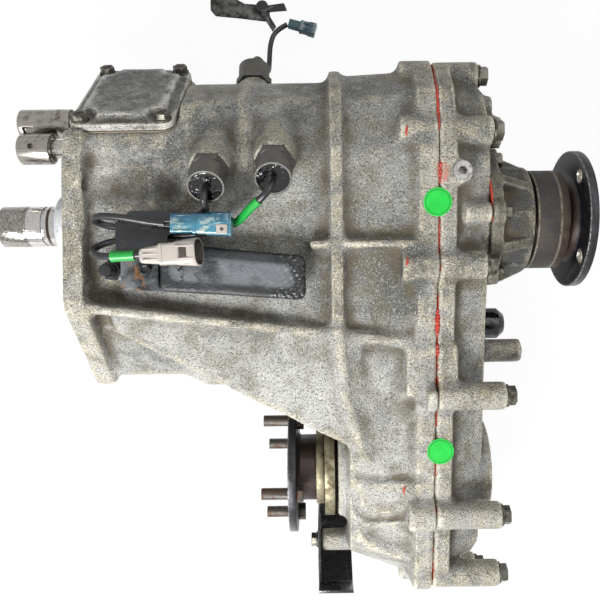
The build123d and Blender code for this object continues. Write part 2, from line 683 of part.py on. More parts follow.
SKIRT_X = CLUTCH_X - RANGE_TRAVEL - 1
NOSE_R = CLUTCH_R + SLEEVE_WALL + 3
with BuildPart() as planet_carrier:
    add(ring(GEAR_X - 1.5 - CARRIER_T, CARRIER_T, SHAFT_R + 7, CARRIER_R))
    add(ring(GEAR_X + GEAR_T + 1.5, CARRIER_T, SHAFT_R + 7, CARRIER_R))
    add(ring(GEAR_X + GEAR_T + 1.5 + CARRIER_T, 10, NOSE_R + FIT, CARRIER_R - 4))
    for place in on_circle(MAIN, PLANET_ORBIT, PLANETS, 90):
        add(rod(GEAR_X - 5, GEAR_T + 10, PIN_R, place))
    for place in on_circle(MAIN, PLANET_ORBIT + 1, PLANETS, 30):
        add(rod(GEAR_X - 5, GEAR_T + 10, 5, place))
save(planet_carrier.part, "planet_carrier")

for number, place in enumerate(on_circle(MAIN, PLANET_ORBIT, PLANETS, 90)):
    turn = 90 + 120 * number + 180 - 180 / PLANET_TEETH
    planet = toothed(gear_points(PLANET_TEETH), GEAR_X, GEAR_T, PIN_R + RUNNING, place, turn)
    save(planet, f"planet_gear_{number + 1}")

# Range sleeve, fork and rail
SLEEVE_X = CLUTCH_X
RELIEF_END = CLUTCH_X + CLUTCH_T + RANGE_TRAVEL
RANGE_GROOVE_X = SLEEVE_X + 16
RANGE_SLEEVE_END = SLEEVE_X + 29
save(turned([(SLEEVE_X, CLUTCH_R + RUNNING), (SLEEVE_X + CLUTCH_T, CLUTCH_R + RUNNING),
             (SLEEVE_X + CLUTCH_T, CLUTCH_R + 2), (RELIEF_END, CLUTCH_R + 2),
             (RELIEF_END, CLUTCH_R + RUNNING), (RANGE_SLEEVE_END, CLUTCH_R + RUNNING),
             (RANGE_SLEEVE_END, NOSE_R), (RANGE_GROOVE_X + 6, NOSE_R), (RANGE_GROOVE_X + 6, NOSE_R - 5),
             (RANGE_GROOVE_X, NOSE_R - 5), (RANGE_GROOVE_X, NOSE_R), (SLEEVE_X, NOSE_R)]),
     "range_sleeve")


def fork(x, groove_r, rail, hub_x, hub_length):
    """A shift fork: a half ring that fits a sleeve's groove, an arm, and a hub on the rail."""
    reach = math.hypot(*rail)
    turn = math.degrees(math.atan2(rail[1], rail[0]))
    with BuildPart() as piece:
        with BuildSketch(across(x, MAIN, turn=turn)):
            Circle(groove_r + 13)
            with Locations(((groove_r + reach) / 2, 0)):
                Rectangle(reach - groove_r, 18)
            with Locations((reach, 0)):
                Circle(FORK_HUB_R)
            Circle(groove_r + FIT, mode=Mode.SUBTRACT)
            with Locations((-60, 0)):
                Rectangle(120, 120, mode=Mode.SUBTRACT)
        extrude(amount=FORK_T)
        add(rod(hub_x, hub_length, FORK_HUB_R, rail))
        add(rod(hub_x - 1, hub_length + 2, RAIL_R + RUNNING, rail), mode=Mode.SUBTRACT)
    return piece.part


save(fork(RANGE_GROOVE_X + 0.2, NOSE_R - 5, RANGE_RAIL, RANGE_GROOVE_X - 8, 22), "range_fork")


def rail_head(x, length, centre):
    """A shift head: a drilled barrel that slips over the end of its rail."""
    return turned([(x, RAIL_R + RUNNING), (x, HEAD_R - 1.5), (x + 1.5, HEAD_R), (x + length - 1, HEAD_R),
                   (x + length, HEAD_R - 1), (x + length, RAIL_R + RUNNING)], centre)


save(rod(RANGE_HEAD[0] + 2, RANGE_RAIL_END_X - RANGE_HEAD[0] - 2, RAIL_R, RANGE_RAIL), "range_rail")
with BuildPart() as range_rail_head:
    add(rail_head(*RANGE_HEAD, RANGE_RAIL))
    with BuildSketch(Plane.XY.offset(RANGE_RAIL[1] + HEAD_R + 1)):
        with Locations((-44, RANGE_RAIL[0])):
            Circle(2.5)
    extrude(amount=-6, mode=Mode.SUBTRACT)
save(range_rail_head.part, "range_rail_head")

SLOT_X = (-62.0, 30.0)
save(rod(DRIVE_HEAD[0] + 36, DRIVE_RAIL_END_X - DRIVE_HEAD[0] - 36, RAIL_R, DRIVE_RAIL), "drive_rail")
with BuildPart() as drive_rail_head:
    add(rail_head(*DRIVE_HEAD, DRIVE_RAIL))
    with BuildSketch(Plane.XY.offset(DRIVE_RAIL[1] - 5)):
        with Locations((SLOT_X[0] + SLOT_X[1] / 2, DRIVE_RAIL[0] - HEAD_R + 3)):
            Rectangle(SLOT_X[1], 10)
    extrude(amount=HEAD_R + 8, mode=Mode.SUBTRACT)
    add(rod(SLOT_X[0] + SLOT_X[1] + 2, 9, HEAD_R - 0.2, DRIVE_RAIL))
    add(rod(DRIVE_HEAD[0] + 35, 12, RAIL_R + RUNNING, DRIVE_RAIL), mode=Mode.SUBTRACT)
save(drive_rail_head.part, "drive_rail_head")

# Rear output shaft, drive sleeve and drive sprocket
OUTPUT_HUB_X = CLUTCH_X + CLUTCH_T + 0.5
DRIVE_HUB_X = 190.0
SPROCKET_HUB_X = 224.5
REAR_HUB_X = REAR_WALL_X + 2
REAR_END_X = 411.0
save(turned([(CLUTCH_X - 14, 0), (CLUTCH_X - 14, PILOT_R - RUNNING), (OUTPUT_HUB_X, PILOT_R - RUNNING),
             (OUTPUT_HUB_X, CLUTCH_R), (RANGE_SLEEVE_END + 4, CLUTCH_R), (RANGE_SLEEVE_END + 4, SHAFT_R),
             (DRIVE_HUB_X, SHAFT_R), (DRIVE_HUB_X, DRIVE_HUB_R), (SPROCKET_HUB_X - 0.5, DRIVE_HUB_R),
             (SPROCKET_HUB_X - 0.5, SHAFT_R), (REAR_HUB_X, SHAFT_R), (REAR_HUB_X, OUTPUT_R),
             (REAR_FLANGE_X - 16, OUTPUT_R), (REAR_FLANGE_X - 16, 12), (REAR_END_X, 12), (REAR_END_X, 0)]),
     "rear_output_shaft")

SLEEVE_R = DRIVE_HUB_R + SLEEVE_WALL
DRIVE_SLEEVE_X = 208.0
DRIVE_GROOVE_X = 215.0
save(turned([(DRIVE_SLEEVE_X, DRIVE_HUB_R + RUNNING), (232, DRIVE_HUB_R + RUNNING), (232, SLEEVE_R),
             (DRIVE_GROOVE_X + 6, SLEEVE_R), (DRIVE_GROOVE_X + 6, SLEEVE_R - 4),
             (DRIVE_GROOVE_X, SLEEVE_R - 4), (DRIVE_GROOVE_X, SLEEVE_R), (DRIVE_SLEEVE_X, SLEEVE_R)]),
     "drive_sleeve")
save(fork(DRIVE_GROOVE_X + 0.2, SLEEVE_R - 4, DRIVE_RAIL, DRIVE_GROOVE_X - 12, 21), "drive_fork")

PITCH_R = LINK_PITCH / (2 * math.sin(math.pi / SPROCKET_TEETH))
MID_R = PITCH_R * math.cos(math.pi / SPROCKET_TEETH)
TOOTH_X = CHAIN_X + (CHAIN_W - SPROCKET_W) / 2
LEG_DEPTH = 4.2
TOOTH_TIP_R = MID_R - LEG_DEPTH - 0.1
TOOTH_ROOT_R = TOOTH_TIP_R - 4.9


def sprocket_points():
    """The outline of a chain wheel, with teeth that stay just inside the legs of the links."""
    points = []
    for tooth in range(SPROCKET_TEETH):
        centre = 2 * math.pi * (tooth + 0.5) / SPROCKET_TEETH
        for along, radius in ((-4.0, TOOTH_ROOT_R), (-3.4, TOOTH_TIP_R), (3.4, TOOTH_TIP_R),
                              (4.0, TOOTH_ROOT_R)):
            angle = centre + math.atan2(along, radius)
            points.append((radius * math.cos(angle), radius * math.sin(angle)))
    return points


with BuildPart() as drive_sprocket:
    add(toothed(sprocket_points(), TOOTH_X, SPROCKET_W, SHAFT_R + RUNNING, MAIN, CHAIN_TURN))
    add(ring(SPROCKET_HUB_X, TOOTH_X - SPROCKET_HUB_X, SHAFT_R + RUNNING, DRIVE_HUB_R))
    add(ring(TOOTH_X + SPROCKET_W, 8, SHAFT_R + RUNNING, DRIVE_HUB_R))
save(drive_sprocket.part, "drive_sprocket")
save(ring(TOOTH_X + SPROCKET_W + 8.3, CHAMBER_END_X - TOOTH_X - SPROCKET_W - 8.6, SHAFT_R + RUNNING,
          SHAFT_R + 4), "output_spacer")

# Chain
LINK_OUTLINE = [(-8.8, -0.5), (-6.6, -4.5), (6.6, -4.5), (8.8, -0.5), (6.8, LEG_DEPTH), (4.2, LEG_DEPTH),
                (2.0, 0.6), (-2.0, 0.6), (-4.2, LEG_DEPTH), (-6.8, LEG_DEPTH)]
LINK_PLATE_T = 3.0


def link_frames():
    """Each link's middle as (along, across, turn) in the plane of the chain, round its whole loop."""
    straight = (CHAIN_LINKS - SPROCKET_TEETH) // 2
    frames = []
    for side, start in ((1, 0.0), (-1, CENTRE_DISTANCE)):
        for link in range(straight):
            frames.append((start + side * (link + 0.5) * LINK_PITCH, side * PITCH_R, 0 if side > 0 else 180))
        wrap = CENTRE_DISTANCE if side > 0 else 0.0
        for link in range(SPROCKET_TEETH // 2):
            turn = (link + 0.5) * 360 / SPROCKET_TEETH
            angle = math.radians(90 * side - turn)
            frames.append((wrap + MID_R * math.cos(angle), MID_R * math.sin(angle),
                           (0 if side > 0 else 180) - turn))
    return frames


with BuildPart() as drive_chain:
    for number, (along, off, turn) in enumerate(link_frames()):
        base = math.radians(CHAIN_TURN)
        place = (along * math.cos(base) - off * math.sin(base), along * math.sin(base) + off * math.cos(base))
        bands = [(CHAIN_X + LINK_PLATE_T + 0.2, CHAIN_W - 2 * LINK_PLATE_T - 0.4)]
        if number % 2:
            bands = [(CHAIN_X, LINK_PLATE_T), (CHAIN_X + CHAIN_W - LINK_PLATE_T, LINK_PLATE_T)]
        for x, width in bands:
            with BuildSketch(across(x, place, turn=CHAIN_TURN + turn)):
                with BuildLine():
                    Polyline(*[(s, -n) for s, n in LINK_OUTLINE], close=True)
                make_face()
            extrude(amount=width, mode=Mode.ADD, clean=False)
save(drive_chain.part, "drive_chain")

# Rear output
REAR_HUB_END = 352.0
NUT_X = REAR_FLANGE_X - 12
with BuildPart() as rear_flange:
    add(turned([(REAR_HUB_END, OUTPUT_R + RUNNING), (REAR_HUB_END, HUB_R), (404, HUB_R), (409, 34),
                (REAR_FLANGE_X, 37), (REAR_FLANGE_X, REAR_FLANGE_R),
                (REAR_FLANGE_X + FLANGE_T, REAR_FLANGE_R), (REAR_FLANGE_X + FLANGE_T, 24),
                (NUT_X, 20), (NUT_X, OUTPUT_R + RUNNING)]))
    for hole in on_circle(MAIN, FLANGE_PCD / 2, 4, REAR_HOLE_TURN):
        add(rod(REAR_FLANGE_X - 1, FLANGE_T + 2, FLANGE_HOLE_R, hole), mode=Mode.SUBTRACT)
save(rear_flange.part, "rear_flange")


def flange_nut(x, centre, direction):
    """A hexagon nut on the threaded end of a shaft."""
    with BuildPart() as nut:
        with BuildSketch(across(x, centre, direction)):
            RegularPolygon(17, 6)
            Circle(12 + RUNNING, mode=Mode.SUBTRACT)
        extrude(amount=10)
    return nut.part


save(flange_nut(NUT_X + JOINT_GAP, MAIN, 1), "rear_flange_nut")
save(turned([(377, DEFLECTOR_R - 3), (377, DEFLECTOR_R), (403, DEFLECTOR_R), (403, HUB_R + RUNNING),
             (398, HUB_R + RUNNING), (398, DEFLECTOR_R - 3)]), "rear_dust_deflector")

# Front output
FRONT_HUB_END = FRONT_BEARING_X - 1
FRONT_DISC_END = FRONT_FLANGE_X + FLANGE_T
with BuildPart() as front_flange:
    add(turned([(FRONT_FLANGE_X, 24), (FRONT_FLANGE_X, FRONT_FLANGE_R), (FRONT_DISC_END, FRONT_FLANGE_R),
                (FRONT_DISC_END, HUB_R + 3), (FRONT_DISC_END + 3, HUB_R), (FRONT_HUB_END, HUB_R),
                (FRONT_HUB_END, OUTPUT_R + RUNNING), (FRONT_FLANGE_X + 12, OUTPUT_R + RUNNING),
                (FRONT_FLANGE_X + 12, 20)], FRONT))
    for hole in on_circle(FRONT, FLANGE_PCD / 2, 4, STUD_TURN):
        add(rod(FRONT_FLANGE_X - 1, FLANGE_T + 2, STUD_SHOULDER_R + RUNNING, hole), mode=Mode.SUBTRACT)
save(front_flange.part, "front_flange")

with BuildPart() as front_flange_studs:
    for hole in on_circle(FRONT, FLANGE_PCD / 2, 4, STUD_TURN):
        add(rod(FRONT_FLANGE_X - STUD_OUT, STUD_OUT, STUD_R, hole))
        add(rod(FRONT_FLANGE_X, FLANGE_T + JOINT_GAP, STUD_SHOULDER_R, hole))
        with BuildSketch(across(FRONT_DISC_END + JOINT_GAP, hole)):
            RegularPolygon(7, 6, major_radius=False)
        extrude(amount=STUD_HEAD_T)
save(front_flange_studs.part, "front_flange_studs")
save(flange_nut(FRONT_FLANGE_X + 12 - JOINT_GAP, FRONT, -1), "front_flange_nut")

with BuildPart() as front_dust_deflectors:
    add(turned([(193, HUB_R + RUNNING), (193, 33), (200, 33), (200, HUB_R + RUNNING)], FRONT))
    add(turned([(200.5, HUB_R + RUNNING), (200.5, 43), (209.5, 43), (209.5, 40.5), (203, 40.5),
                (203, HUB_R + RUNNING)], FRONT))
save(front_dust_deflectors.part, "front_dust_deflectors")
with BuildPart() as output_seals:
    add(ring(359, 10, HUB_R + RUNNING, BEARING_R + 2))
    add(ring(NOSE_X + 0.5, FRONT_BEARING_X - NOSE_X - 1.5, HUB_R + RUNNING, BEARING_R, FRONT))
save(output_seals.part, "output_seals")

save(turned([(FRONT_FLANGE_X + 1, 0), (FRONT_FLANGE_X + 1, 12), (FRONT_FLANGE_X + 12, 12),
             (FRONT_FLANGE_X + 12, OUTPUT_R), (FRONT_HUB_END + 0.5, OUTPUT_R), (FRONT_HUB_END + 0.5, SHAFT_R),
             (CHAMBER_END_X + BEARING_T, SHAFT_R), (CHAMBER_END_X + BEARING_T, 0)], FRONT),
     "front_output_shaft")
with BuildPart() as driven_sprocket:
    add(toothed(sprocket_points(), TOOTH_X, SPROCKET_W, SHAFT_R + RUNNING, FRONT, CHAIN_TURN))
    add(ring(FRONT_BEARING_X + BEARING_T + 0.5, TOOTH_X - FRONT_BEARING_X - BEARING_T - 0.5,
             SHAFT_R + RUNNING, DRIVE_HUB_R, FRONT))
    add(ring(TOOTH_X + SPROCKET_W, CHAMBER_END_X - TOOTH_X - SPROCKET_W - 0.5, SHAFT_R + RUNNING,
             DRIVE_HUB_R, FRONT))
save(driven_sprocket.part, "driven_sprocket")


# Switches with their leads
HEX_T = 10.0
CAN_T = 24.0
CAN_R = 13.9
CAP_R = 12.2
CORD_R = 2.6


def switch(seat, hex_t, can_t, can_r):
    """A screw-in switch: thread, hexagon and crimped can, open for its potting."""
    with BuildPart() as piece:
        with BuildSketch(seat):
            Circle(SWITCH_THREAD_R - RUNNING)
        extrude(amount=-20)
        with BuildSketch(seat.offset(JOINT_GAP)):
            RegularPolygon(13.5, 6, major_radius=False)
        extrude(amount=hex_t)
        with BuildSketch(seat.offset(hex_t + JOINT_GAP)):
            Circle(can_r)
        extrude(amount=can_t)
        with BuildSketch(seat.offset(hex_t + can_t + JOINT_GAP)):
            Circle(CAP_R + RUNNING)
        extrude(amount=-4, mode=Mode.SUBTRACT)
    return piece.part


for seat, name in zip(SWITCH_SEATS, ("range_switch", "drive_switch")):
    save(switch(seat, HEX_T, CAN_T, CAN_R), name)
save(switch(SIDE_SEAT, 6, 12, 13.4), "neutral_switch")
with BuildPart() as switch_caps:
    for seat, height in zip(SWITCH_SEATS + [SIDE_SEAT], (HEX_T + CAN_T, HEX_T + CAN_T, 18)):
        with BuildSketch(seat.offset(height - 4 + 2 * JOINT_GAP)):
            Circle(CAP_R)
        extrude(amount=3)
save(switch_caps.part, "switch_caps")


def route_radii(points):
    """The largest bend at each corner of a route: 0.45 of the shorter run over tan of half the turn."""
    radii = []
    for before, corner, after in zip(points, points[1:], points[2:]):
        first = Vector(*corner) - Vector(*before)
        second = Vector(*after) - Vector(*corner)
        half = math.radians(first.get_angle(second)) / 2
        radii.append(0.45 * min(first.length, second.length) / math.tan(half))
    return radii


def cord(points, radius, name):
    """A round lead along straight runs joined by tangent arcs."""
    radii = route_radii(points)
    with BuildPart() as piece:
        with BuildLine() as route:
            FilletPolyline(*points, radius=radii)
        path = route.wires()[0]
        with BuildSketch(Plane(origin=path @ 0, z_dir=path % 0)):
            Circle(radius)
        sweep()
    length = path.length
    share = piece.part.volume / (math.pi * radius**2 * length)
    print(name, "length", round(length, 1), "volume share", round(share, 4),
          "radii", [round(r) for r in radii])
    save(piece.part, name)


BLUE_PLUG = ((90.0, -9.0, 88.0), 45.0, (17.0, 17.0))
WHITE_PLUG = ((68.0, -32.0, 92.0), 43.0, (17.0, 15.0))
TEAL_START = (168.9, 224.4, -126.6)
RANGE_ROUTE = [(117, 16.75, 96.9), (117, 10.0, 104.5), (116.5, 3.2, 103.0), (116, 2.7, 84.0),
               (112, 1.5, 73.5), (94, -6, 68.5), (66, -9, 66.0), (40, -9, 66.5), (28, -5, 74.0),
               (32, -2, 85.5), (52, -3.5, 89.5), (74, -8, 88.6), (89.7, -9, 88.0)]
DRIVE_ROUTE = [(166.5, 21.7, 98.95), (166, 15.0, 106.4), (160, 7.5, 107.0), (150, 1.0, 98.0),
               (144, -3.0, 86.0), (135, -8.5, 73.5), (110, -14.5, 66.5), (82, -15.5, 62.5),
               (54, -16.5, 61.0), (34, -20, 64.0), (25, -27, 75.0), (34, -32.5, 87.0), (52, -33.0, 91.3),
               (67.8, -32.0, 92.0)]
NEUTRAL_ROUTE = [(143, 139.1, -13.5), (143, 150.2, -17.54), (147, 154.5, -36), (149.5, 154.5, -66),
                 (149.5, 164, -96), (148.5, 181, -119), (149, 204, -127.4), (155, 218.6, -128.7),
                 (167, 224.2, -128.8)]
cord(RANGE_ROUTE, CORD_R, "range_lead")
cord(DRIVE_ROUTE, CORD_R, "drive_lead")
cord(NEUTRAL_ROUTE, CORD_R, "neutral_lead")


def plug(start, length, size, turn=0.0):
    """A two-pole connector: a stepped housing with a latch, lying along x and turned about z."""
    angle = math.radians(turn)
    base = Plane(origin=start, x_dir=(-math.sin(angle), math.cos(angle), 0),
                 z_dir=(math.cos(angle), math.sin(angle), 0))
    width, height = size
    with BuildPart() as piece:
        with BuildSketch(base):
            RectangleRounded(width - 4, height - 4, 2)
        extrude(amount=length * 0.45)
        with BuildSketch(base.offset(length * 0.4)):
            RectangleRounded(width, height, 2.5)
        extrude(amount=length * 0.6)
        with BuildSketch(base.offset(length)):
            RectangleRounded(width - 4, height - 5, 1.5)
        extrude(amount=-length * 0.35, mode=Mode.SUBTRACT)
        with BuildSketch(base.offset(length * 0.5)):
            with Locations((0, height / 2)):
                Rectangle(width * 0.4, 4)
        extrude(amount=length * 0.3)
    return piece.part


save(plug(*BLUE_PLUG), "blue_connector")
save(plug(*WHITE_PLUG), "white_connector")
save(plug(TEAL_START, 29.0, (13.0, 11.0), -16), "teal_connector")

# Bracket that carries the connectors, and the tuned damper below it
DAMPER_PLAN = [(76, -21), (76, -58.5), (188, -67), (188, -33)]
END_PLAN = [(47, -20), (47, -57), (75.5, -58.5), (75.5, -21)]
with BuildPart() as damper_bracket:
    with BuildSketch(Plane.XY.offset(DAMPER_BASE_Z)):
        with BuildLine():
            Polyline(END_PLAN[0], END_PLAN[1], (180, -66), (180, -36), close=True)
        make_face()
    extrude(amount=4)
    with BuildSketch(Plane.XY.offset(DAMPER_BASE_Z)) as end_block:
        with BuildLine():
            Polyline(*END_PLAN, close=True)
        make_face()
        fillet(end_block.vertices(), 4)
    extrude(amount=17)
    with BuildSketch(Plane.XY.offset(DAMPER_BASE_Z)):
        with Locations(*DAMPER_FEET):
            Circle(3 + FIT)
    extrude(amount=30, mode=Mode.SUBTRACT)
save(damper_bracket.part, "damper_bracket")
with BuildPart() as damper_weight:
    with BuildSketch(Plane.XY.offset(DAMPER_BASE_Z + 4 + FIT)) as weight_plan:
        with BuildLine():
            Polyline(*DAMPER_PLAN, close=True)
        make_face()
        fillet(weight_plan.vertices(), 6)
    extrude(amount=12.6)
    fillet(damper_weight.faces().sort_by(Axis.Z)[-1].edges(), 3)
    with BuildSketch(Plane.XY.offset(DAMPER_BASE_Z)):
        with Locations(DAMPER_FEET[1]):
            Circle(8)
    extrude(amount=12, mode=Mode.SUBTRACT)
save(damper_weight.part, "damper_weight")
with BuildPart() as damper_bolts:
    for (x, y), lift in zip(DAMPER_FEET, (17, 4)):
        seat = Plane(origin=(x, y, DAMPER_BASE_Z + lift + JOINT_GAP), x_dir=(1, 0, 0), z_dir=(0, 0, 1))
        add(bolt(seat, lift + 14, 6, washer=False))
save(damper_bolts.part, "damper_bolts")
with BuildPart() as case_stud:
    with BuildSketch(Plane.XY.offset(STUD_FOOT_Z + JOINT_GAP)):
        with Locations(STUD_FEET[0]):
            Circle(5)
    extrude(amount=20)
    with BuildSketch(Plane.XY.offset(STUD_FOOT_Z + JOINT_GAP)):
        with Locations(STUD_FEET[0]):
            RegularPolygon(7, 6, major_radius=False)
    extrude(amount=5)
save(case_stud.part, "case_stud")
PLATE_Z = DAMPER_BASE_Z + 17.3
PLATE_T = 2.0
CLIP_POSTS = [((75, -32), (9, 9), 86.4), ((91.5, -8), (5, 10), 81.4)]
with BuildPart() as connector_bracket:
    with BuildSketch(Plane.XY.offset(PLATE_Z)) as plate_plan:
        with BuildLine():
            Polyline((44, -34), (44, -6), (56, 3), (94, 2), (94, -14), (84, -16), (80, -36.5), (70.5, -36.5),
                     (70.5, -33), close=True)
        make_face()
        fillet(plate_plan.vertices(), 1.2)
    extrude(amount=PLATE_T)
    for place, size, top in CLIP_POSTS:
        with BuildSketch(Plane.XY.offset(PLATE_Z)):
            with Locations(place):
                Rectangle(*size)
        extrude(amount=top - PLATE_Z)
save(connector_bracket.part, "connector_bracket")

# Sheet protector round the foot of the chain case
with BuildPart() as protector:
    with BuildSketch(Plane.YZ.offset(PROTECTOR_START)):
        with BuildLine():
            FilletPolyline((-236, -134), (-306, -119), (-341, -66), (-341, -44), radius=12)
            offset(amount=PROTECTOR_T, side=Side.RIGHT)
        make_face()
    extrude(amount=PROTECTOR_END - PROTECTOR_START)
    with BuildSketch(Plane.YZ.offset(PROTECTOR_START)) as tab:
        with BuildLine():
            Polyline((-280, -36), (-306, -36), (-339, -60), (-339, -66), (-305, -117), (-270, -124),
                     close=True)
        make_face()
    extrude(amount=PROTECTOR_T)
    add(rod(PROTECTOR_START - 1, 6, 4 + FIT, PROTECTOR_BOSS), mode=Mode.SUBTRACT)
save(protector.part, "protector")

# Speed sensor in the rear casting
save(turned([(REAR_WALL_X - 18, 0), (REAR_WALL_X - 18, 6 - RUNNING), (REAR_WALL_X + JOINT_GAP, 6 - RUNNING),
             (REAR_WALL_X + JOINT_GAP, 14), (362, 14), (368, 9), (368, 0)], SENSOR), "speed_sensor")

# Lead clip and its loose bracket
FLOOR_Z = -134.0
with BuildPart() as lead_bracket:
    with BuildSketch(Plane.XY.offset(FLOOR_Z)) as strip:
        with BuildLine():
            Polyline((86, 296), (86, 242), (91, 236), (118, 233), (144, 229.5), (149, 233), (148, 246),
                     (122, 248), (112, 254), (108, 296), close=True)
        make_face()
        fillet(strip.vertices(), 2)
    extrude(amount=3)
save(lead_bracket.part, "lead_bracket")
with BuildPart() as lead_clip:
    with BuildSketch(Plane.XY.offset(FLOOR_Z + 3.2)):
        with Locations((141, 243)):
            Circle(6.5)
    extrude(amount=4)
    with BuildSketch(Plane.XY.offset(FLOOR_Z + 3.2)):
        with BuildLine():
            Polyline((143, 244), (164, 246.7), (167, 239.5), (145, 238), close=True)
        make_face()
        with BuildLine():
            Polyline((138, 239), (146, 238), (155.3, 222.4), (151.6, 217.7), close=True)
        make_face()
    extrude(amount=3)
save(lead_clip.part, "lead_clip")
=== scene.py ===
# %% [markdown]
# A transfer case from a four-wheel-drive vehicle lies on a pale table and is seen from above.
# The solid model comes packed, as a frame of named nodes on named bodies, and this script dresses it:
# cast fillets and grain on the housings, worn and dirty metal, plastic connectors, leads and seals.

import json
import math
import bpy
import bmesh
import numpy as np
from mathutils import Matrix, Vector
from mathutils.bvhtree import BVHTree

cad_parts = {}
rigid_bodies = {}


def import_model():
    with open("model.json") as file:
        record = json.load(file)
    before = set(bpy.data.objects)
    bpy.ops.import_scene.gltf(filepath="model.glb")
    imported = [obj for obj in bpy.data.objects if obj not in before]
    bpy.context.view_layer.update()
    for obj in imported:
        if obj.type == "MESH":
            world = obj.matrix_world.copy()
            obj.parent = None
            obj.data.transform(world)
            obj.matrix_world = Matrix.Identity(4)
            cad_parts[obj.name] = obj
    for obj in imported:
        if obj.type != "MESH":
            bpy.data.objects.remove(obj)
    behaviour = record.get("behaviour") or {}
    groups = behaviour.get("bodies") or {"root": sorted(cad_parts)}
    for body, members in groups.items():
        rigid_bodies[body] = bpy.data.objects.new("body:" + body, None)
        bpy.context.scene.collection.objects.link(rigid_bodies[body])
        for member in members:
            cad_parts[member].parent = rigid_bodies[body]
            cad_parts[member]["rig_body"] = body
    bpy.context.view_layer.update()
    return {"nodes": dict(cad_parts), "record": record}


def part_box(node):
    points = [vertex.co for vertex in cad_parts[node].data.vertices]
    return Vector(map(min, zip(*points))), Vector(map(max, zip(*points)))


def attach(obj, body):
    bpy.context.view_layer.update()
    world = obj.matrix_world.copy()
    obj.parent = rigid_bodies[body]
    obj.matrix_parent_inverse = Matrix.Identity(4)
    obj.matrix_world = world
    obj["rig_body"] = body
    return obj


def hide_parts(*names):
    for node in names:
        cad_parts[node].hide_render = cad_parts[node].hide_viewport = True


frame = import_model()
nodes = frame["nodes"]
scene = bpy.context.scene
scene.view_settings.view_transform = "Standard"

# %% [markdown]
# The camera stands where the photograph was taken: straight above, 0.6 m over the shaft axis. Its focal
# length and its shift come from the ellipses of the two flanges. Everything that is later placed on the
# picture is placed through this camera, so it comes first.

# %% Camera
FOCAL_PX = 690.0
FRAME_PX = 600.0
SENSOR_MM = 36.0
CAMERA_AT = (0.203, -0.0672, 0.600)
IMAGE_ROLL = 0.8
AXIS_PX = 325.0

camera_data = bpy.data.cameras.new("camera")
camera_data.sensor_width = SENSOR_MM
camera_data.lens = FOCAL_PX / FRAME_PX * SENSOR_MM
camera_data.shift_x = (FRAME_PX / 2 - AXIS_PX) / FRAME_PX
camera = bpy.data.objects.new("camera", camera_data)
camera.location = CAMERA_AT
camera.rotation_euler = (0, 0, -math.radians(IMAGE_ROLL))
scene.collection.objects.link(camera)
scene.camera = camera
print("lens", round(camera_data.lens, 2), "shift", round(camera_data.shift_x, 4))

# %% [markdown]
# The third switch has a free lead. It hangs down from the side of the housing to the table and ends in a
# plug. Its line is one NURBS curve of order 3 through the same control points as the solid model's route,
# so that it bends as smoothly as rubber does.

# %% Free lead
MM = 0.001
NEUTRAL_ROUTE = [(143, 139.1, -13.5), (143, 150.2, -17.54), (147, 154.5, -36), (149.5, 154.5, -66),
                 (149.5, 164, -96), (148.5, 181, -119), (149, 204, -127.4), (155, 218.6, -128.7),
                 (167, 224.2, -128.8)]
LEAD_R = 2.6


def rows_of(items, key, width=3, kind=float):
    """One property of all vertices or edges, as an array with a row for each."""
    values = np.empty(len(items) * width, kind)
    items.foreach_get(key, values)
    return values.reshape(-1, width)


def route_curve(name, route, radius):
    """A tube on one open NURBS of order 3 whose control points are the route, in millimetres.
    The bevel is 1 m times each point's radius, so the curve's own box has the tube's size. A radius
    of 0 leaves the bare line."""
    data = bpy.data.curves.new(name, "CURVE")
    data.dimensions = "3D"
    data.bevel_depth = 1.0 if radius else 0.0
    data.bevel_resolution = 5
    data.resolution_u = 12
    data.use_fill_caps = True
    spline = data.splines.new("NURBS")
    spline.points.add(len(route) - 1)
    for point, place in zip(spline.points, route):
        point.co = (*[value * MM for value in place], 1.0)
        point.radius = radius * MM
    spline.order_u = 3
    spline.use_endpoint_u = True
    piece = bpy.data.objects.new(name, data)
    scene.collection.objects.link(piece)
    return piece


def centre_line(name, route):
    """The points of the route's smooth line, from the curve with no bevel."""
    bare = route_curve(name, route, 0.0)
    line = bpy.data.meshes.new_from_object(bare)
    points = rows_of(line.vertices, "co")
    bpy.data.objects.remove(bare)
    bpy.data.meshes.remove(line)
    return points


neutral_line = centre_line("neutral_line", NEUTRAL_ROUTE)
neutral_lead = route_curve("neutral_lead_cord", NEUTRAL_ROUTE, LEAD_R)
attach(neutral_lead, "case")
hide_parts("neutral_lead")

# %% [markdown]
# Shader maths is easier to read as arithmetic. A small class wraps a socket, and its operators add Math
# nodes. A second class holds one material's tree and makes any other node in one call.


# %% Shader helpers
class Value:
    """An output socket that can be added, multiplied and so on."""

    def __init__(self, paint, socket):
        self.paint = paint
        self.socket = socket

    def maths(self, operation, *others):
        """A Math node on this value and others."""
        return self.paint.maths(operation, self, *others)

    def __add__(self, other):
        return self.maths("ADD", other)

    __radd__ = __add__

    def __sub__(self, other):
        return self.maths("SUBTRACT", other)

    def __rsub__(self, other):
        return self.paint.maths("SUBTRACT", other, self)

    def __mul__(self, other):
        return self.maths("MULTIPLY", other)

    __rmul__ = __mul__

    def clamp(self):
        """Held between 0 and 1."""
        return self.maths("MAXIMUM", 0.0).maths("MINIMUM", 1.0)

    def step(self, low, high):
        """0 below low, 1 above high, smooth between."""
        return self.paint.node("ShaderNodeMapRange", {"interpolation_type": "SMOOTHSTEP"},
                               {"Value": self, "From Min": low, "From Max": high}, "Result")


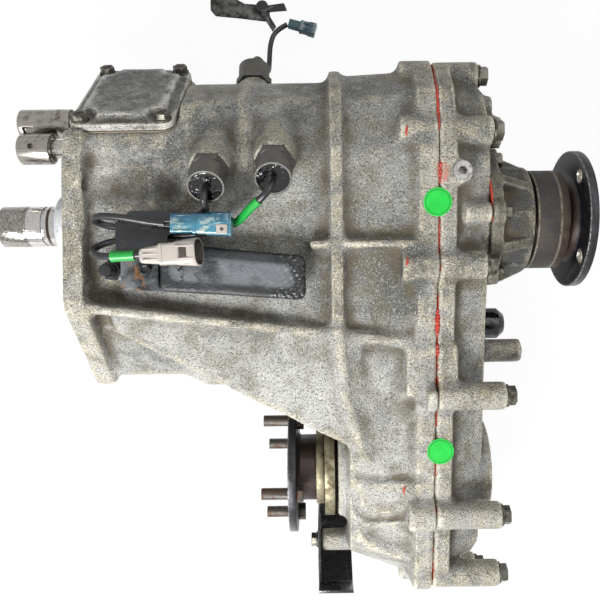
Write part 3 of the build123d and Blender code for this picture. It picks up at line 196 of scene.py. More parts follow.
class Tree:
    """The node tree of a material or a world, emptied first."""

    def __init__(self, owner):
        owner.use_nodes = True
        self.tree = owner.node_tree
        self.tree.nodes.clear()

    def feed(self, socket, value):
        """Links a Value to a socket, or sets a number or a colour on it."""
        if isinstance(value, Value):
            self.tree.links.new(value.socket, socket)
        elif isinstance(value, tuple) and len(value) == 3 and socket.type == "RGBA":
            socket.default_value = (*value, 1.0)
        else:
            socket.default_value = value

    def node(self, kind, settings, inputs, output):
        """Any node: its settings are set first, then its sockets are fed, and one output comes back."""
        made = self.tree.nodes.new(kind)
        for key, setting in settings.items():
            setattr(made, key, setting)
        for key, value in inputs.items():
            self.feed(made.inputs[key], value)
        return Value(self, made.outputs[output])

    def maths(self, operation, *values):
        """A Math node on values and numbers."""
        return self.node("ShaderNodeMath", {"operation": operation}, dict(enumerate(values)), 0)


class Paint(Tree):
    """One material with its surface shader."""

    def __init__(self, name):
        self.material = bpy.data.materials.new(name)
        super().__init__(self.material)
        self.shader = self.tree.nodes.new("ShaderNodeBsdfPrincipled")
        self.surface = self.tree.nodes.new("ShaderNodeOutputMaterial").inputs["Surface"]
        self.tree.links.new(self.shader.outputs["BSDF"], self.surface)
        self.places = self.node("ShaderNodeTexCoord", {}, {}, "Object")

    def noise(self, size, detail=3.0, rough=0.55, stretch=None, shift=(0, 0, 0)):
        """Noise whose features are about size millimetres wide."""
        scale = stretch or (1, 1, 1)
        places = self.node("ShaderNodeMapping", {}, {"Vector": self.places, "Location": shift,
                                                     "Scale": scale}, "Vector")
        return self.node("ShaderNodeTexNoise", {}, {"Vector": places, "Scale": 1000.0 / size,
                                                    "Detail": detail, "Roughness": rough}, 0)

    def axis(self, name):
        """One object coordinate, in metres."""
        return self.node("ShaderNodeSeparateXYZ", {}, {0: self.places}, name)

    def attribute(self, name):
        """A number that the mesh holds at each vertex."""
        return self.node("ShaderNodeAttribute", {"attribute_name": name}, {}, "Fac")

    def mix(self, mask, first, second):
        """A colour between two, by a mask."""
        made = self.tree.nodes.new("ShaderNodeMix")
        made.data_type = "RGBA"
        self.feed(made.inputs[0], mask)
        self.feed(made.inputs[6], first)
        self.feed(made.inputs[7], second)
        return Value(self, made.outputs[2])

    def finish(self, colour, rough, metallic=0.0, bump=None, height=0.0002, **constants):
        """Feeds the surface shader. Constants go straight onto its sockets."""
        self.feed(self.shader.inputs["Base Color"], colour)
        self.feed(self.shader.inputs["Roughness"], rough)
        self.feed(self.shader.inputs["Metallic"], metallic)
        for key, value in constants.items():
            self.shader.inputs[key.replace("_", " ")].default_value = value
        if bump is not None:
            normal = self.node("ShaderNodeBump", {}, {"Height": bump, "Distance": height}, "Normal")
            self.feed(self.shader.inputs["Normal"], normal)
        return self.material


def dress(name, material):
    """Gives a node of the frame its material."""
    data = nodes[name].data
    data.materials.clear()
    data.materials.append(material)


# %% [markdown]
# The housings are sand-cast aluminium that has been on the road: grey metal with dark pits and bright specks
# about a millimetre wide, tan grime where dirt collects, and bright metal with a painted highlight on edges and
# shoulders. Three vertex attributes tell the material where the edges, their shoulders and the corners are.
# Painted shade darkens a stretch on the right of the front casting, and painted light makes the lower flank
# paler.

# %% Painted shade, painted light and sealant on the castings
SEAM_X = 293.0
SMEAR_AT = (294.5, 31.0)
PAINTED_LIGHT_BELOW_Y = -0.105
SHADE_ABOVE_Y = -0.088
SHADE_WEAKENS_Y = -0.040
SHADE_X = (0.175, 0.290)


def scaled(colour, share):
    """A colour times a number."""
    return tuple(share * part for part in colour)


def painted_shade_film(paint):
    """Painted shade: above a line, between two stations along X, and weaker again higher up."""
    x, y = paint.axis("X"), paint.axis("Y")
    film = (y - SHADE_ABOVE_Y).step(0.0, 0.014) * (x - SHADE_X[0]).step(0.0, 0.03)
    film = film * (1.0 - (y - SHADE_WEAKENS_Y).step(0.0, 0.03) * 0.45) * (SHADE_X[1] - x).step(0.0, 0.010)
    return (film * (0.42 + paint.noise(34, 4, 0.6, shift=(0.4, 0.2, 0)).step(0.36, 0.62) * 0.50)).clamp()


def red_sealant_film(paint, colour, speck):
    """Sealant in stretches along the joint, and one patch of it that has been rubbed over the casting."""
    seam = 1.0 - (paint.axis("X") - SEAM_X * MM).maths("ABSOLUTE").step(0.0004, 0.0012)
    seam = (seam * paint.noise(16, 3, 0.6, shift=(0, 0.2, 0)).step(0.50, 0.56)).clamp()
    colour = paint.mix(seam, colour, (0.50, 0.07, 0.025))
    across = (paint.axis("X") - SMEAR_AT[0] * MM) * 1.7
    along = paint.axis("Y") - SMEAR_AT[1] * MM
    reach = (across * across + along * along).maths("SQRT") + (paint.noise(6, 3) - 0.5) * 0.016
    smear = reach.step(0.0105, 0.006) * speck.step(0.40, 0.56)
    return paint.mix(smear * 0.75, colour, (0.56, 0.17, 0.115))


print("joint at x", SEAM_X, "mm, painted shade from", SHADE_X[0], "to", SHADE_X[1], "m")

# %% [markdown]
# The grey itself is mixed from noise of several sizes: broad shades, patches, specks and pits. Each layer
# is a mask and a colour. The same function makes the clean cover, the dirty extension and the rear casting,
# with other tones.


# %% Cast aluminium
def cast_aluminium(name, grime=1.0, tone=1.0, sealant=False, mottle=0.0, edge=(0.46, 0.41, 0.29)):
    """Grey metal in three sizes of patch, then painted light low down, painted shade on the right, stains,
    grime, specks, pits, and rubbed edges and shoulders with a painted highlight. tone scales the greys, mottle
    is the strength of the stains, and edge the colour of the painted highlight on the shoulders."""
    paint = Paint(name)
    worn, shoulder, recess = [paint.attribute(layer) for layer in ("worn", "shoulder", "recess")]
    broad = paint.noise(70, 3, 0.6)
    patch = paint.noise(11, 4, 0.65)
    speck = paint.noise(1.5, 2, 0.75)
    pit = paint.noise(1.3, 2, 0.7, shift=(0.3, 0.1, 0.2))
    bright = min(1.0, tone)
    dark, light = scaled((0.120, 0.124, 0.120), tone), scaled((0.310, 0.308, 0.290), tone)
    grey = paint.mix(broad.step(0.38, 0.60), dark, light)
    grey = paint.mix(patch.step(0.42, 0.68) * 0.55, grey, scaled((0.45, 0.44, 0.41), tone))
    # Painted light: the lower flank is made paler, as if it were lit more strongly.
    dust_and_painted_light = (PAINTED_LIGHT_BELOW_Y - paint.axis("Y")).step(0.0, 0.03) * 0.29
    grey = paint.mix(dust_and_painted_light, grey, scaled((0.60, 0.595, 0.56), tone))
    # Painted shade: a dark film over a stretch on the right of the front casting.
    grey = paint.mix(painted_shade_film(paint), grey, scaled((0.085, 0.086, 0.080), tone))
    stain = paint.noise(9, 5, 0.7, shift=(0.7, 0.3, 0.1)).step(0.45, 0.57) * mottle
    grey = paint.mix(stain, grey, (0.034, 0.036, 0.040))
    olive = paint.noise(24, 4, 0.65, shift=(0.2, 0.5, 0.1)).step(0.47, 0.66) * (0.65 * grime)
    grey = paint.mix(olive.clamp(), grey, scaled((0.150, 0.134, 0.090), min(1.0, 0.15 + tone)))
    # Painted highlight on the shoulders of the edges, in the edge colour: tan on most castings.
    tan = (shoulder.step(0.10, 0.8) * paint.noise(15, 4, 0.65, shift=(0, 0, 0.4)).step(0.34, 0.60)).clamp()
    grey = paint.mix(tan * 0.56, grey, scaled(edge, min(1.0, 0.35 + tone * 0.65)))
    grey = paint.mix(speck.step(0.52, 0.66) * (0.40 + tan * 0.35) * bright, grey, (0.66, 0.65, 0.60))
    grey = paint.mix(pit.step(0.53, 0.62) * 0.76, grey, (0.028, 0.027, 0.024))
    dirt = (recess.step(0.12, 0.85) * grime * (0.25 + paint.noise(19, 4, 0.65).step(0.3, 0.65))).clamp()
    grey = paint.mix(dirt * 0.85, grey, (0.092, 0.074, 0.046))
    # Rubbed bright metal on the edges, which also carries a painted highlight there.
    rub = (worn.step(0.45, 1.0) * speck.step(0.36, 0.58) * (0.8 * bright) * patch.step(0.25, 0.55)).clamp()
    colour = paint.mix(rub, grey, (0.72, 0.69, 0.58))
    if sealant:
        colour = red_sealant_film(paint, colour, speck)
    rough = (0.56 - rub * 0.16 + dirt * 0.25).clamp()
    grain = speck * 0.6 + pit * -0.9 + patch * 0.5
    metallic = (0.35 - dirt * 0.3).clamp()
    return paint.finish(colour, rough, metallic, grain, 0.0013)


cast = cast_aluminium("cast_aluminium_grain", sealant=True)
# The cover's shoulders get a near-white painted highlight.
cast_clean = cast_aluminium("cast_aluminium_cover", grime=0.6, tone=0.74, mottle=0.66, edge=(1.0, 1.0, 0.97))
cast_grimy = cast_aluminium("cast_aluminium_grimy", grime=1.6, tone=0.25, mottle=0.5)
cast_rear = cast_aluminium("cast_aluminium_rear", grime=1.3, tone=0.82, sealant=True)
print("cast materials", cast.name, cast_clean.name, cast_grimy.name, cast_rear.name)

# %% [markdown]
# New pieces are made of points worked out with numpy. A grid of points needs quads between its rows, and
# several meshes can be added up into one. Doubled points are merged and faces turned outwards, so that each
# piece is a clean shell that can also be printed.


# %% Mesh tools
def clean_shell(data):
    """Merges doubled points, then turns the faces of each shell outwards, all the same way round."""
    shape = bmesh.new()
    shape.from_mesh(data)
    bmesh.ops.remove_doubles(shape, verts=shape.verts, dist=1e-7)
    bmesh.ops.recalc_face_normals(shape, faces=shape.faces)
    shape.to_mesh(data)
    shape.free()


def mesh_piece(name, points, faces, material, slot, body="case", sharp=40.0):
    """A mesh from an (n, 3) array of places in millimetres and a list of faces, smooth below an angle."""
    data = bpy.data.meshes.new(name)
    data.from_pydata((np.asarray(points) * MM).tolist(), [], [list(face) for face in faces])
    data.validate()
    clean_shell(data)
    data.shade_smooth()
    data.set_sharp_from_angle(angle=math.radians(sharp))
    data.materials.append(material)
    piece = bpy.data.objects.new(name, data)
    scene.collection.objects.link(piece)
    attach(piece, body)
    return piece


def grid_faces(rows, columns):
    """Quads of a grid of rows by columns, joined round its columns."""
    row, column = np.meshgrid(np.arange(rows - 1), np.arange(columns), indexing="ij")
    after = (column + 1) % columns
    quads = np.stack([row * columns + column, row * columns + after, (row + 1) * columns + after,
                      (row + 1) * columns + column], axis=-1)
    return quads.reshape(-1, 4)


def join(*meshes):
    """Several (points, faces) meshes as one."""
    points, faces, count = [], [], 0
    for part_points, part_faces in meshes:
        points.append(part_points)
        faces += [[corner + count for corner in face] for face in part_faces]
        count += len(part_points)
    return np.concatenate(points), faces


print("a grid of 3 rows by 8 points has", len(grid_faces(3, 8)), "quads")

# %% [markdown]
# Two shapes make most of the new pieces. A loft joins rounded rectangles along a line, as a moulded plug
# needs, and a tube carries a circle along a line, as a wire, a boss or a bead of sealant needs.


# %% Lofts and tubes
def rounded(width, height, corner, count=7):
    """A rounded rectangle: at each corner, a quarter circle about a centre one radius inside both sides."""
    corner = min(corner, width / 2, height / 2)
    quarter = np.linspace(0, np.pi / 2, count)
    points = []
    for number, (side, up) in enumerate(((1, 1), (-1, 1), (-1, -1), (1, -1))):
        turn = quarter + number * np.pi / 2
        points.append(np.stack([side * (width / 2 - corner) + corner * np.cos(turn),
                                up * (height / 2 - corner) + corner * np.sin(turn)], axis=1))
    return np.concatenate(points)


def loft(sections, capped=(True, True)):
    """A lengthwise mesh through rounded rectangles: (along, width, height, corner) each, and for one off the
    middle line also how far it lies sideways and up."""
    rings = []
    for along, width, height, corner, *offset in sections:
        ring = rounded(width, height, corner)
        sideways, up = offset or (0, 0)
        rings.append(np.column_stack([np.full(len(ring), along), ring[:, 0] + sideways, ring[:, 1] + up]))
    count = len(rings[0])
    faces = grid_faces(len(rings), count).tolist()
    if capped[0]:
        faces.append(list(range(count))[::-1])
    if capped[1]:
        faces.append([(len(rings) - 1) * count + corner for corner in range(count)])
    return np.concatenate(rings), faces


def tube(line, radii, count=14):
    """A tube along an (n, 3) line with a radius at each point. The ring's axes follow the line's tangent."""
    line = np.asarray(line, float)
    radii = np.broadcast_to(radii, len(line))
    tangent = np.gradient(line, axis=0)
    tangent /= np.linalg.norm(tangent, axis=1)[:, None]
    side = np.cross(tangent, np.where(np.abs(tangent[:, 2:]) > 0.9, [1.0, 0, 0], [0, 0, 1.0]))
    side /= np.linalg.norm(side, axis=1)[:, None]
    up = np.cross(side, tangent)
    turn = np.linspace(0, 2 * np.pi, count, endpoint=False)
    rings = (line[:, None] + radii[:, None, None] * (np.cos(turn)[None, :, None] * side[:, None]
                                                     + np.sin(turn)[None, :, None] * up[:, None]))
    faces = grid_faces(len(line), count).tolist()
    faces += [list(range(count))[::-1], [(len(line) - 1) * count + corner for corner in range(count)]]
    return rings.reshape(-1, 3), faces


print("a tube of 3 rings has", len(tube([(0, 0, 0), (5, 0, 0), (9, 0, 0)], 2.0)[1]), "faces")

# %% [markdown]
# Some forms are placed on the photograph. A ray from the camera through a pixel of the picture finds
# the place on the solid model. A stroke along such places presses a hollow into the surface or raises a
# bead on it, with a soft edge, as the pattern for a sand mould would have it.

# %% Places from the picture
STROKE_DEPTH = 16.0
UPPER_SIDE = 0.15


def surface_of(*pieces):
    """A search tree over the faces of some pieces."""
    graph = bpy.context.evaluated_depsgraph_get()
    return [BVHTree.FromObject(piece, graph) for piece in pieces]


def seen_at(node, pixel):
    """The place in millimetres where the camera's ray through a pixel of the picture meets a node."""
    roll = math.radians(IMAGE_ROLL)
    across, down = pixel[0] - AXIS_PX, FRAME_PX / 2 - pixel[1]
    ray = Vector((across * math.cos(roll) + down * math.sin(roll),
                  down * math.cos(roll) - across * math.sin(roll), -FOCAL_PX))
    hit = surface_of(nodes[node])[0].ray_cast(Vector(CAMERA_AT), ray.normalized())[0]
    if hit is None:
        raise ValueError(f"no part of {node} lies behind pixel {pixel}")
    return np.array(hit) / MM


def line_distance(flat, line):
    """The distance from each (x, y) place to a line of (x, y) points."""
    nearest = np.full(len(flat), 1e9)
    for start, end in zip(line, line[1:]):
        run = end - start
        share = np.clip((flat - start) @ run / (run @ run), 0, 1)
        nearest = np.minimum(nearest, np.linalg.norm(flat - start - share[:, None] * run, axis=1))
    return nearest


def pressed(places, normals, node, strokes):
    """Moves the upper surface along z: by height times exp(-(d/width)^4), at a distance d from a stroke."""
    change = np.zeros(len(places))
    for pixels, width, height in strokes:
        line = np.array([seen_at(node, pixel) for pixel in pixels])
        level = line[:, 2].mean()
        distance = line_distance(places[:, :2] / MM, line[:, :2])
        near_top = (normals[:, 2] > UPPER_SIDE) & (np.abs(places[:, 2] / MM - level) < STROKE_DEPTH)
        change += height * np.exp(-(distance / width) ** 4) * near_top
    return places + change[:, None] * MM * [0, 0, 1]


print("pixel (350, 140) shows", seen_at("front_case", (350, 140)).round(1), "mm")

# %% [markdown]
# A sand casting has no sharp edges. The solid model's housings are copied, merged and remeshed in small
# voxels, and the result is smoothed, so that every corner gets a fillet of a few millimetres. Bevels on
# the solid's own edges would break where so many ribs and bosses meet.


# %% Remeshed copies
def remeshed(node, name, voxel, smoothing, extra):
    """A node's copy with extra points and faces melted in, remeshed in voxels and smoothed."""
    mesh = nodes[node].data.copy()
    piece = bpy.data.objects.new(name, mesh)
    scene.collection.objects.link(piece)
    work = bmesh.new()
    work.from_mesh(mesh)
    bmesh.ops.remove_doubles(work, verts=work.verts, dist=1e-6)
    if extra is not None:
        added = [work.verts.new(place) for place in (extra[0] * MM).tolist()]
        for face in extra[1]:
            work.faces.new([added[corner] for corner in face])
    work.to_mesh(mesh)
    work.free()
    remesh = piece.modifiers.new("remesh", "REMESH")
    remesh.mode = "VOXEL"
    remesh.voxel_size = voxel * MM
    remesh.use_smooth_shade = True
    smooth = piece.modifiers.new("smooth", "SMOOTH")
    smooth.factor = 0.5
    smooth.iterations = smoothing
    graph = bpy.context.evaluated_depsgraph_get()
    result = bpy.data.meshes.new_from_object(piece.evaluated_get(graph))
    piece.modifiers.clear()
    piece.data = result
    return piece


def neighbour_mean(values, edges, counts):
    """The mean of each vertex's neighbours, with the edges as an (n, 2) array."""
    total = np.zeros_like(values)
    for column in range(values.shape[1]):
        total[:, column] = (np.bincount(edges[:, 0], values[edges[:, 1], column], len(values))
                            + np.bincount(edges[:, 1], values[edges[:, 0], column], len(values)))
    return total / counts[:, None]


def bulge(places, normals, edges, counts, reach):
    """How far a smoothing over a reach, in voxels, would move each vertex inwards along its normal."""
    wide = places
    for _ in range(max(1, round(reach ** 2))):
        wide = neighbour_mean(wide, edges, counts)
    return ((places - wide) * normals).sum(axis=1)


triangle = np.array([[0, 1], [1, 2], [2, 0]])
print("means on a triangle", neighbour_mean(np.array([[0.0], [1.0], [2.0]]), triangle, np.full(3, 2)).ravel())

# %% [markdown]
# What a wide smoothing would cut off, measured along the surface normal, is positive on outer edges and
# negative in corners. It is used twice: corners are filled by it, and it is stored at three widths for the
# material, as rubbed edges, shoulders and recesses.

# %% Cast skins
FILLET_REACH = 6.5
# Each layer's name, the width of its smoothing in millimetres and the bulge in metres that fills it
LAYERS = [("worn", 3.2, 0.00042), ("shoulder", 8.0, 0.0010), ("recess", 8.0, -0.0012)]


def skin(node, name, voxel, smoothing, material, fillet=0.0, extra=None, strokes=()):
    """A node's remeshed copy with rounded edges, pressed strokes, filled corners and its three layers.
    A corner's vertex moves out to where the wide smoothing lies, by the fillet at most, in millimetres."""
    piece = remeshed(node, name, voxel, smoothing, extra)
    result = piece.data
    places, normals = rows_of(result.vertices, "co"), rows_of(result.vertices, "normal")
    edges = rows_of(result.edges, "vertices", 2, np.int32)
    counts = np.maximum(np.bincount(edges.ravel(), minlength=len(places)), 1)
    places = pressed(places, normals, node, strokes)
    if fillet:
        for reach in (FILLET_REACH, FILLET_REACH / 2):
            hollow = -bulge(places, normals, edges, counts, reach / voxel)
            places = places + normals * np.clip(hollow, 0, fillet * MM)[:, None]
        result.vertices.foreach_set("co", places.ravel())
        result.update()
        normals = rows_of(result.vertices, "normal")
    for label, reach, full in LAYERS:
        out = bulge(places, normals, edges, counts, reach / voxel) / full
        layer = result.attributes.new(label, "FLOAT", "POINT")
        layer.data.foreach_set("value", np.clip(out, 0, 1).astype(np.float32))
    result.materials.clear()
    result.materials.append(material)
    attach(piece, "case")
    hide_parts(node)
    print(name, "faces", len(result.polygons))
    return piece


print("layers", [layer[0] for layer in LAYERS])

# %% [markdown]
# The front casting carries forms that run into it: a slanted pad under the side cover, a boss round each
# of the two switches, and the hollows, ledges and beads between its ribs. The pad and the bosses are lofts
# and tubes that the remeshing melts in.

# %% Forms of the front casting
COVER_TILT = 50.4
COVER_CENTRE = np.array([44.0, 103.4, 13.7])
SWITCH_TILT = 43.0
SWITCH_PLACES = [(117.0, 53.0, 58.0), (166.5, 58.0, 60.0)]
SWITCH_BOSS_R = 15.9
# Hollows and beads of the front casting: pixels of the picture, half width and height in millimetres
FRONT_STROKES = [
    ([(110, 187), (164, 187)], 12.5, -5.5),
    ([(149, 178), (151, 203)], 2.6, 2.2),
    ([(77, 190), (79, 228)], 3.4, -2.6),
    ([(353, 474), (362, 478), (395, 478), (424, 479)], 4.0, -3.4),
    ([(354, 494), (356, 506), (362, 515), (374, 519), (424, 521)], 4.2, -3.6),
    ([(358, 526), (424, 528)], 2.4, 1.6),
    ([(359, 530), (361, 539), (372, 546), (400, 556)], 3.2, 2.4),
    ([(376, 532), (400, 548)], 9.0, -2.0),
    ([(120, 250), (118, 300)], 5.0, -2.0),
]


def cover_pad():
    """The pad under the side cover: rounded rectangles that grow with depth, on the cover's slanted plane."""
    points, faces = loft([(-0.8, 84.0, 112.0, 12), (-2.2, 86.0, 116.0, 13, 0.8, -2.0),
                          (-8, 91.0, 121.0, 15, 3.0, -4.5), (-16, 93.0, 124.0, 16, 4.0, -6.0)])
    tilt = math.radians(COVER_TILT)
    up = np.array([0, math.cos(tilt), -math.sin(tilt)])
    out = np.array([0, math.sin(tilt), math.cos(tilt)])
    return COVER_CENTRE + points[:, 1:2] * [1, 0, 0] + points[:, 2:3] * up + points[:, :1] * out, faces


def along_switch(place, reaches):
    """Points on a switch's slanted axis, at distances from its foot in millimetres."""
    axis = np.array([0, -math.sin(math.radians(SWITCH_TILT)), math.cos(math.radians(SWITCH_TILT))])
    return [np.array(place) + axis * reach for reach in reaches]


switch_bosses = [tube(along_switch(place, (10, 20, 30.5)), SWITCH_BOSS_R, 28) for place in SWITCH_PLACES]
front_skin = skin("front_case", "front_case_skin", 2.75, 3, cast, 1.6, join(cover_pad(), *switch_bosses),
                  FRONT_STROKES)

# %% [markdown]
# The rear casting has a round boss at each bolt of the extension. The extension and the side cover are
# smaller castings, so their voxels are finer and their fillets narrower.

# %% Rear casting, extension and cover
BOSS_CIRCLE_R = 54.0
BOSS_R = 8.6
BOSS_X = (314, 325, 335.4)
BOSS_TURNS = np.radians(np.arange(30, 390, 60))
bolt_bosses = join(*[tube([(x, BOSS_CIRCLE_R * math.cos(turn), BOSS_CIRCLE_R * math.sin(turn)) for x in BOSS_X],
                          BOSS_R) for turn in BOSS_TURNS])
rear_skin = skin("rear_case", "rear_case_skin", 2.2, 3, cast_rear, 1.2, bolt_bosses)
skin("extension_housing", "extension_skin", 1.3, 4, cast_grimy, 0.8)
skin("side_cover", "side_cover_skin", 1.3, 4, cast_clean)

# %% [markdown]
# Turned and plated steel differs mostly in colour, gloss and dirt, so one function makes all of it: a
# base colour that varies a little, stains in patches, and fine scratches round the axis or along it.
# A band, (start, end, colour), is a stretch along X in millimetres.


# %% Metal
def band_mask(paint, start, end, soft):
    """1 between two stations along X in millimetres, with ends that are soft over a length in metres."""
    middle, half = (start + end) / 2 * MM, (end - start) / 2 * MM
    return (paint.axis("X") - middle).maths("ABSOLUTE").step(half + soft, half - soft)


def metal(name, colour, stain, rough=0.35, metallic=0.9, stained=0.35, stretch=None, grain=0.00008, bands=()):
    """Metal with brush marks, stains in patches and bands."""
    paint = Paint(name)
    brush = paint.noise(0.9, 2, 0.6, stretch=stretch)
    patch = paint.noise(9, 5, 0.7)
    mask = patch.step(0.62 - stained * 0.3, 0.80 - stained * 0.2)
    tint = paint.mix((brush - 0.35).clamp(), colour, tuple(min(1.0, part * 1.5) for part in colour))
    for start, end, shade in bands:
        marked = paint.mix((brush * 2.2 - 0.6).clamp(), scaled(shade, 0.45), scaled(shade, 1.9))
        tint = paint.mix(band_mask(paint, start, end, 0.0003), tint, marked)
    tint = paint.mix(mask * stained * 1.6, tint, stain)
    gloss = (rough + mask * 0.3 + (brush - 0.5) * 0.25).clamp()
    return paint.finish(tint, gloss, metallic, brush, grain)


GRIME = (0.07, 0.06, 0.045)
AROUND_X = (0.06, 1.0, 1.0)
ALONG_X = (1.0, 0.08, 0.08)
machined = metal("machined_steel_turned", (0.34, 0.325, 0.30), GRIME, 0.24, 1.0, 0.45, ALONG_X, 0.00005)
shaft_steel = metal("input_shaft_turned", (0.42, 0.41, 0.40), GRIME, 0.20, 1.0, 0.25, (1.0, 0.3, 0.3), 0.00006,
                    [(-73.5, -49.5, (0.205, 0.195, 0.18)), (-32.4, -29.9, (0.055, 0.04, 0.03))])
head_steel = metal("shift_head_steel", (0.27, 0.255, 0.23), (0.06, 0.045, 0.03), 0.26, 1.0, 0.5, AROUND_X)
bolt_steel = metal("bolt_steel_plated", (0.112, 0.106, 0.088), (0.035, 0.030, 0.021), 0.38, 0.75, 0.7,
                   grain=0.0002)
stud_steel = metal("stud_steel_black", (0.060, 0.056, 0.050), (0.09, 0.045, 0.025), 0.42, 0.7, 0.6,
                   grain=0.0003)
# Painted shade: a much darker colour for the sunk middle of each bolt head.
head_shade = metal("bolt_head_dish_painted_shade", (0.022, 0.021, 0.020), (0.05, 0.04, 0.028), 0.5, 0.5, 0.5,
                   grain=0.0002)
switch_steel = metal("switch_steel_dull", (0.082, 0.080, 0.074), (0.15, 0.135, 0.10), 0.44, 0.6, 0.5,
                     grain=0.0003)
bearing_steel = metal("bearing_steel_ground", (0.46, 0.46, 0.47), GRIME, 0.25, 1.0, 0.15, AROUND_X)
gear_steel = metal("gear_steel_oiled", (0.30, 0.30, 0.31), (0.12, 0.10, 0.07), 0.33, 1.0, 0.3)
bright_aluminium = metal("bright_aluminium_turned", (0.30, 0.295, 0.285), GRIME, 0.40, 0.55, 0.45, AROUND_X)
collar_aluminium = metal("collar_aluminium_turned", (0.52, 0.53, 0.54), GRIME, 0.45, 0.25, 0.3, AROUND_X)
rusty_iron = metal("rusty_iron_cast", (0.022, 0.020, 0.019), (0.058, 0.044, 0.030), 0.46, 0.4, 0.6,
                   grain=0.0005, bands=[(376, 378.2, (0.14, 0.125, 0.10)), (395.0, 397.0, (0.13, 0.115, 0.09)),
                                        (397.0, 405.0, (0.030, 0.019, 0.015))])
yellow_zinc = metal("yellow_zinc_dull", (0.23, 0.21, 0.14), (0.09, 0.07, 0.035), 0.42, 0.8, 0.6, grain=0.0002)
grey_sheet = metal("grey_sheet_plated", (0.10, 0.10, 0.095), (0.035, 0.03, 0.025), 0.45, 0.6, 0.7, grain=0.0003)
print("rusty iron's nodes", len(rusty_iron.node_tree.nodes))

# %% [markdown]
# The two flanges are oxidised black, with a rusty hub. Their bolt holes are bare steel, and a painted
# reflection runs
# along the rim of the face: both are found by the distance from the flange's axis, or from the centres of its
# four holes.

# %% Flanges
HOLE_CIRCLE_R = 46.65
RIM_R = 58.0
HUB_RUST = (0.040, 0.022, 0.017)


def bare_holes(across, high, turn):
    """1 near the centres of four holes on the circle, the first at an angle in degrees."""
    bare = None
    for quarter in range(4):
        angle = math.radians(turn + 90 * quarter)
        side = across - HOLE_CIRCLE_R * MM * math.cos(angle)
        rise = high - HOLE_CIRCLE_R * MM * math.sin(angle)
        near = (side * side + rise * rise).maths("SQRT").step(0.00635, 0.0060)
        bare = near if bare is None else (bare + near).clamp()
    return bare


def flange_metal(name, hub, turn, edge_x, rusty):
    """Black oxide, rust on a stretch of the hub, bare steel in the holes, and a painted reflection on the
    face's rim.
    """
    paint = Paint(name)
    across = paint.axis("Y") - hub[0] * MM
    high = paint.axis("Z") - hub[1] * MM
    bare = bare_holes(across, high, turn)
    patch = paint.noise(9, 5, 0.7)
    fine = paint.noise(1.6, 3, 0.7)
    tint = paint.mix(patch.step(0.45, 0.75), (0.010, 0.010, 0.013), (0.040, 0.036, 0.038))
    tint = paint.mix(band_mask(paint, *rusty, 0.0006) * (0.4 + patch * 0.9).clamp(), tint, HUB_RUST)
    tint = paint.mix(bare, tint, (0.36, 0.33, 0.30))
    # Painted reflection: a pale speckled line on the rim of the face, at its edge.
    rim = ((across * across + high * high).maths("SQRT") - (RIM_R - 1.6) * MM).step(0, 0.0006)
    edge = (paint.axis("X") - edge_x * MM).maths("ABSOLUTE").step(0.0012, 0.0004)
    tint = paint.mix(rim * edge * fine.step(0.40, 0.58) * 0.8, tint, (0.30, 0.30, 0.31))
    gloss = (0.34 + (patch - 0.5) * 0.3 - bare * 0.08).clamp()
    return paint.finish(tint, gloss, (0.35 + bare * 0.6).clamp(), fine, 0.00035)


flange_low, flange_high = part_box("front_flange")
FRONT_AXIS = [(flange_low[axis] + flange_high[axis]) / 2 / MM for axis in (1, 2)]
rear_black = flange_metal("black_flange_rear", (0.0, 0.0), 47.0, 413.0, (370, 411.5))
front_black = flange_metal("black_flange_front", FRONT_AXIS, 15.4, 169.0, (177.5, 240))
print("front flange's axis", [round(value, 1) for value in FRONT_AXIS], "mm")

# %% [markdown]
# Each material goes to its nodes of the frame. The nodes inside the housings get one too.

# %% Metal nodes
MATERIAL_OF = {
    machined: ["rear_output_shaft", "output_spacer", "front_output_shaft", "range_rail", "drive_rail"],
    shaft_steel: ["input_shaft"],
    head_steel: ["range_rail_head", "drive_rail_head"],
    stud_steel: ["front_flange_studs"],
    bolt_steel: ["case_bolts", "extension_bolts", "m8_bolts", "rear_flange_nut", "front_flange_nut"],
    switch_steel: ["range_switch", "drive_switch", "neutral_switch"],
    bearing_steel: ["input_bearing", "rear_output_bearing", "front_output_bearings"],
    gear_steel: ["ring_gear", "planet_carrier", "planet_gear_1", "planet_gear_2", "planet_gear_3",
                 "range_sleeve", "drive_sleeve", "drive_sprocket", "driven_sprocket", "drive_chain"],
    bright_aluminium: ["oil_plugs"],
    collar_aluminium: ["input_retainer"],
    rear_black: ["rear_flange"],
    front_black: ["front_flange"],
    rusty_iron: ["rear_dust_deflector"],
    yellow_zinc: ["front_dust_deflectors"],
    grey_sheet: ["lead_bracket"],
    cast_clean: ["range_fork", "drive_fork"],
}
for material, names in MATERIAL_OF.items():
    for name in names:
        dress(name, material)
print("metal nodes", sum(len(names) for names in MATERIAL_OF.values()))

# %% [markdown]
# Painted sheet, rubber and moulded plastic aren't metals: they have a colour under a clear gloss. Dust
# lies on them in patches, and the blue plug is painted paler and cream on one side, as light through it would
# make it.


# %% Paints, rubbers and plastics
def coating(name, colour, dust, rough=0.4, dust_and_painted_light=0.3, size=6.0, wrinkle=0.0001, wrinkle_size=2.0, **constants):
    """Paint, rubber or plastic: one colour, dust in patches of a size in millimetres, and a wrinkled face."""
    paint = Paint(name)
    patch = paint.noise(size, 5, 0.7)
    fine = paint.noise(wrinkle_size, 3, 0.6)
    mask = patch.step(0.55, 0.78)
    tint = paint.mix(mask * dust_and_painted_light, colour, dust)
    gloss = (rough + mask * 0.25 + (fine - 0.5) * 0.2).clamp()
    return paint.finish(tint, gloss, 0.0, fine, wrinkle, **constants)


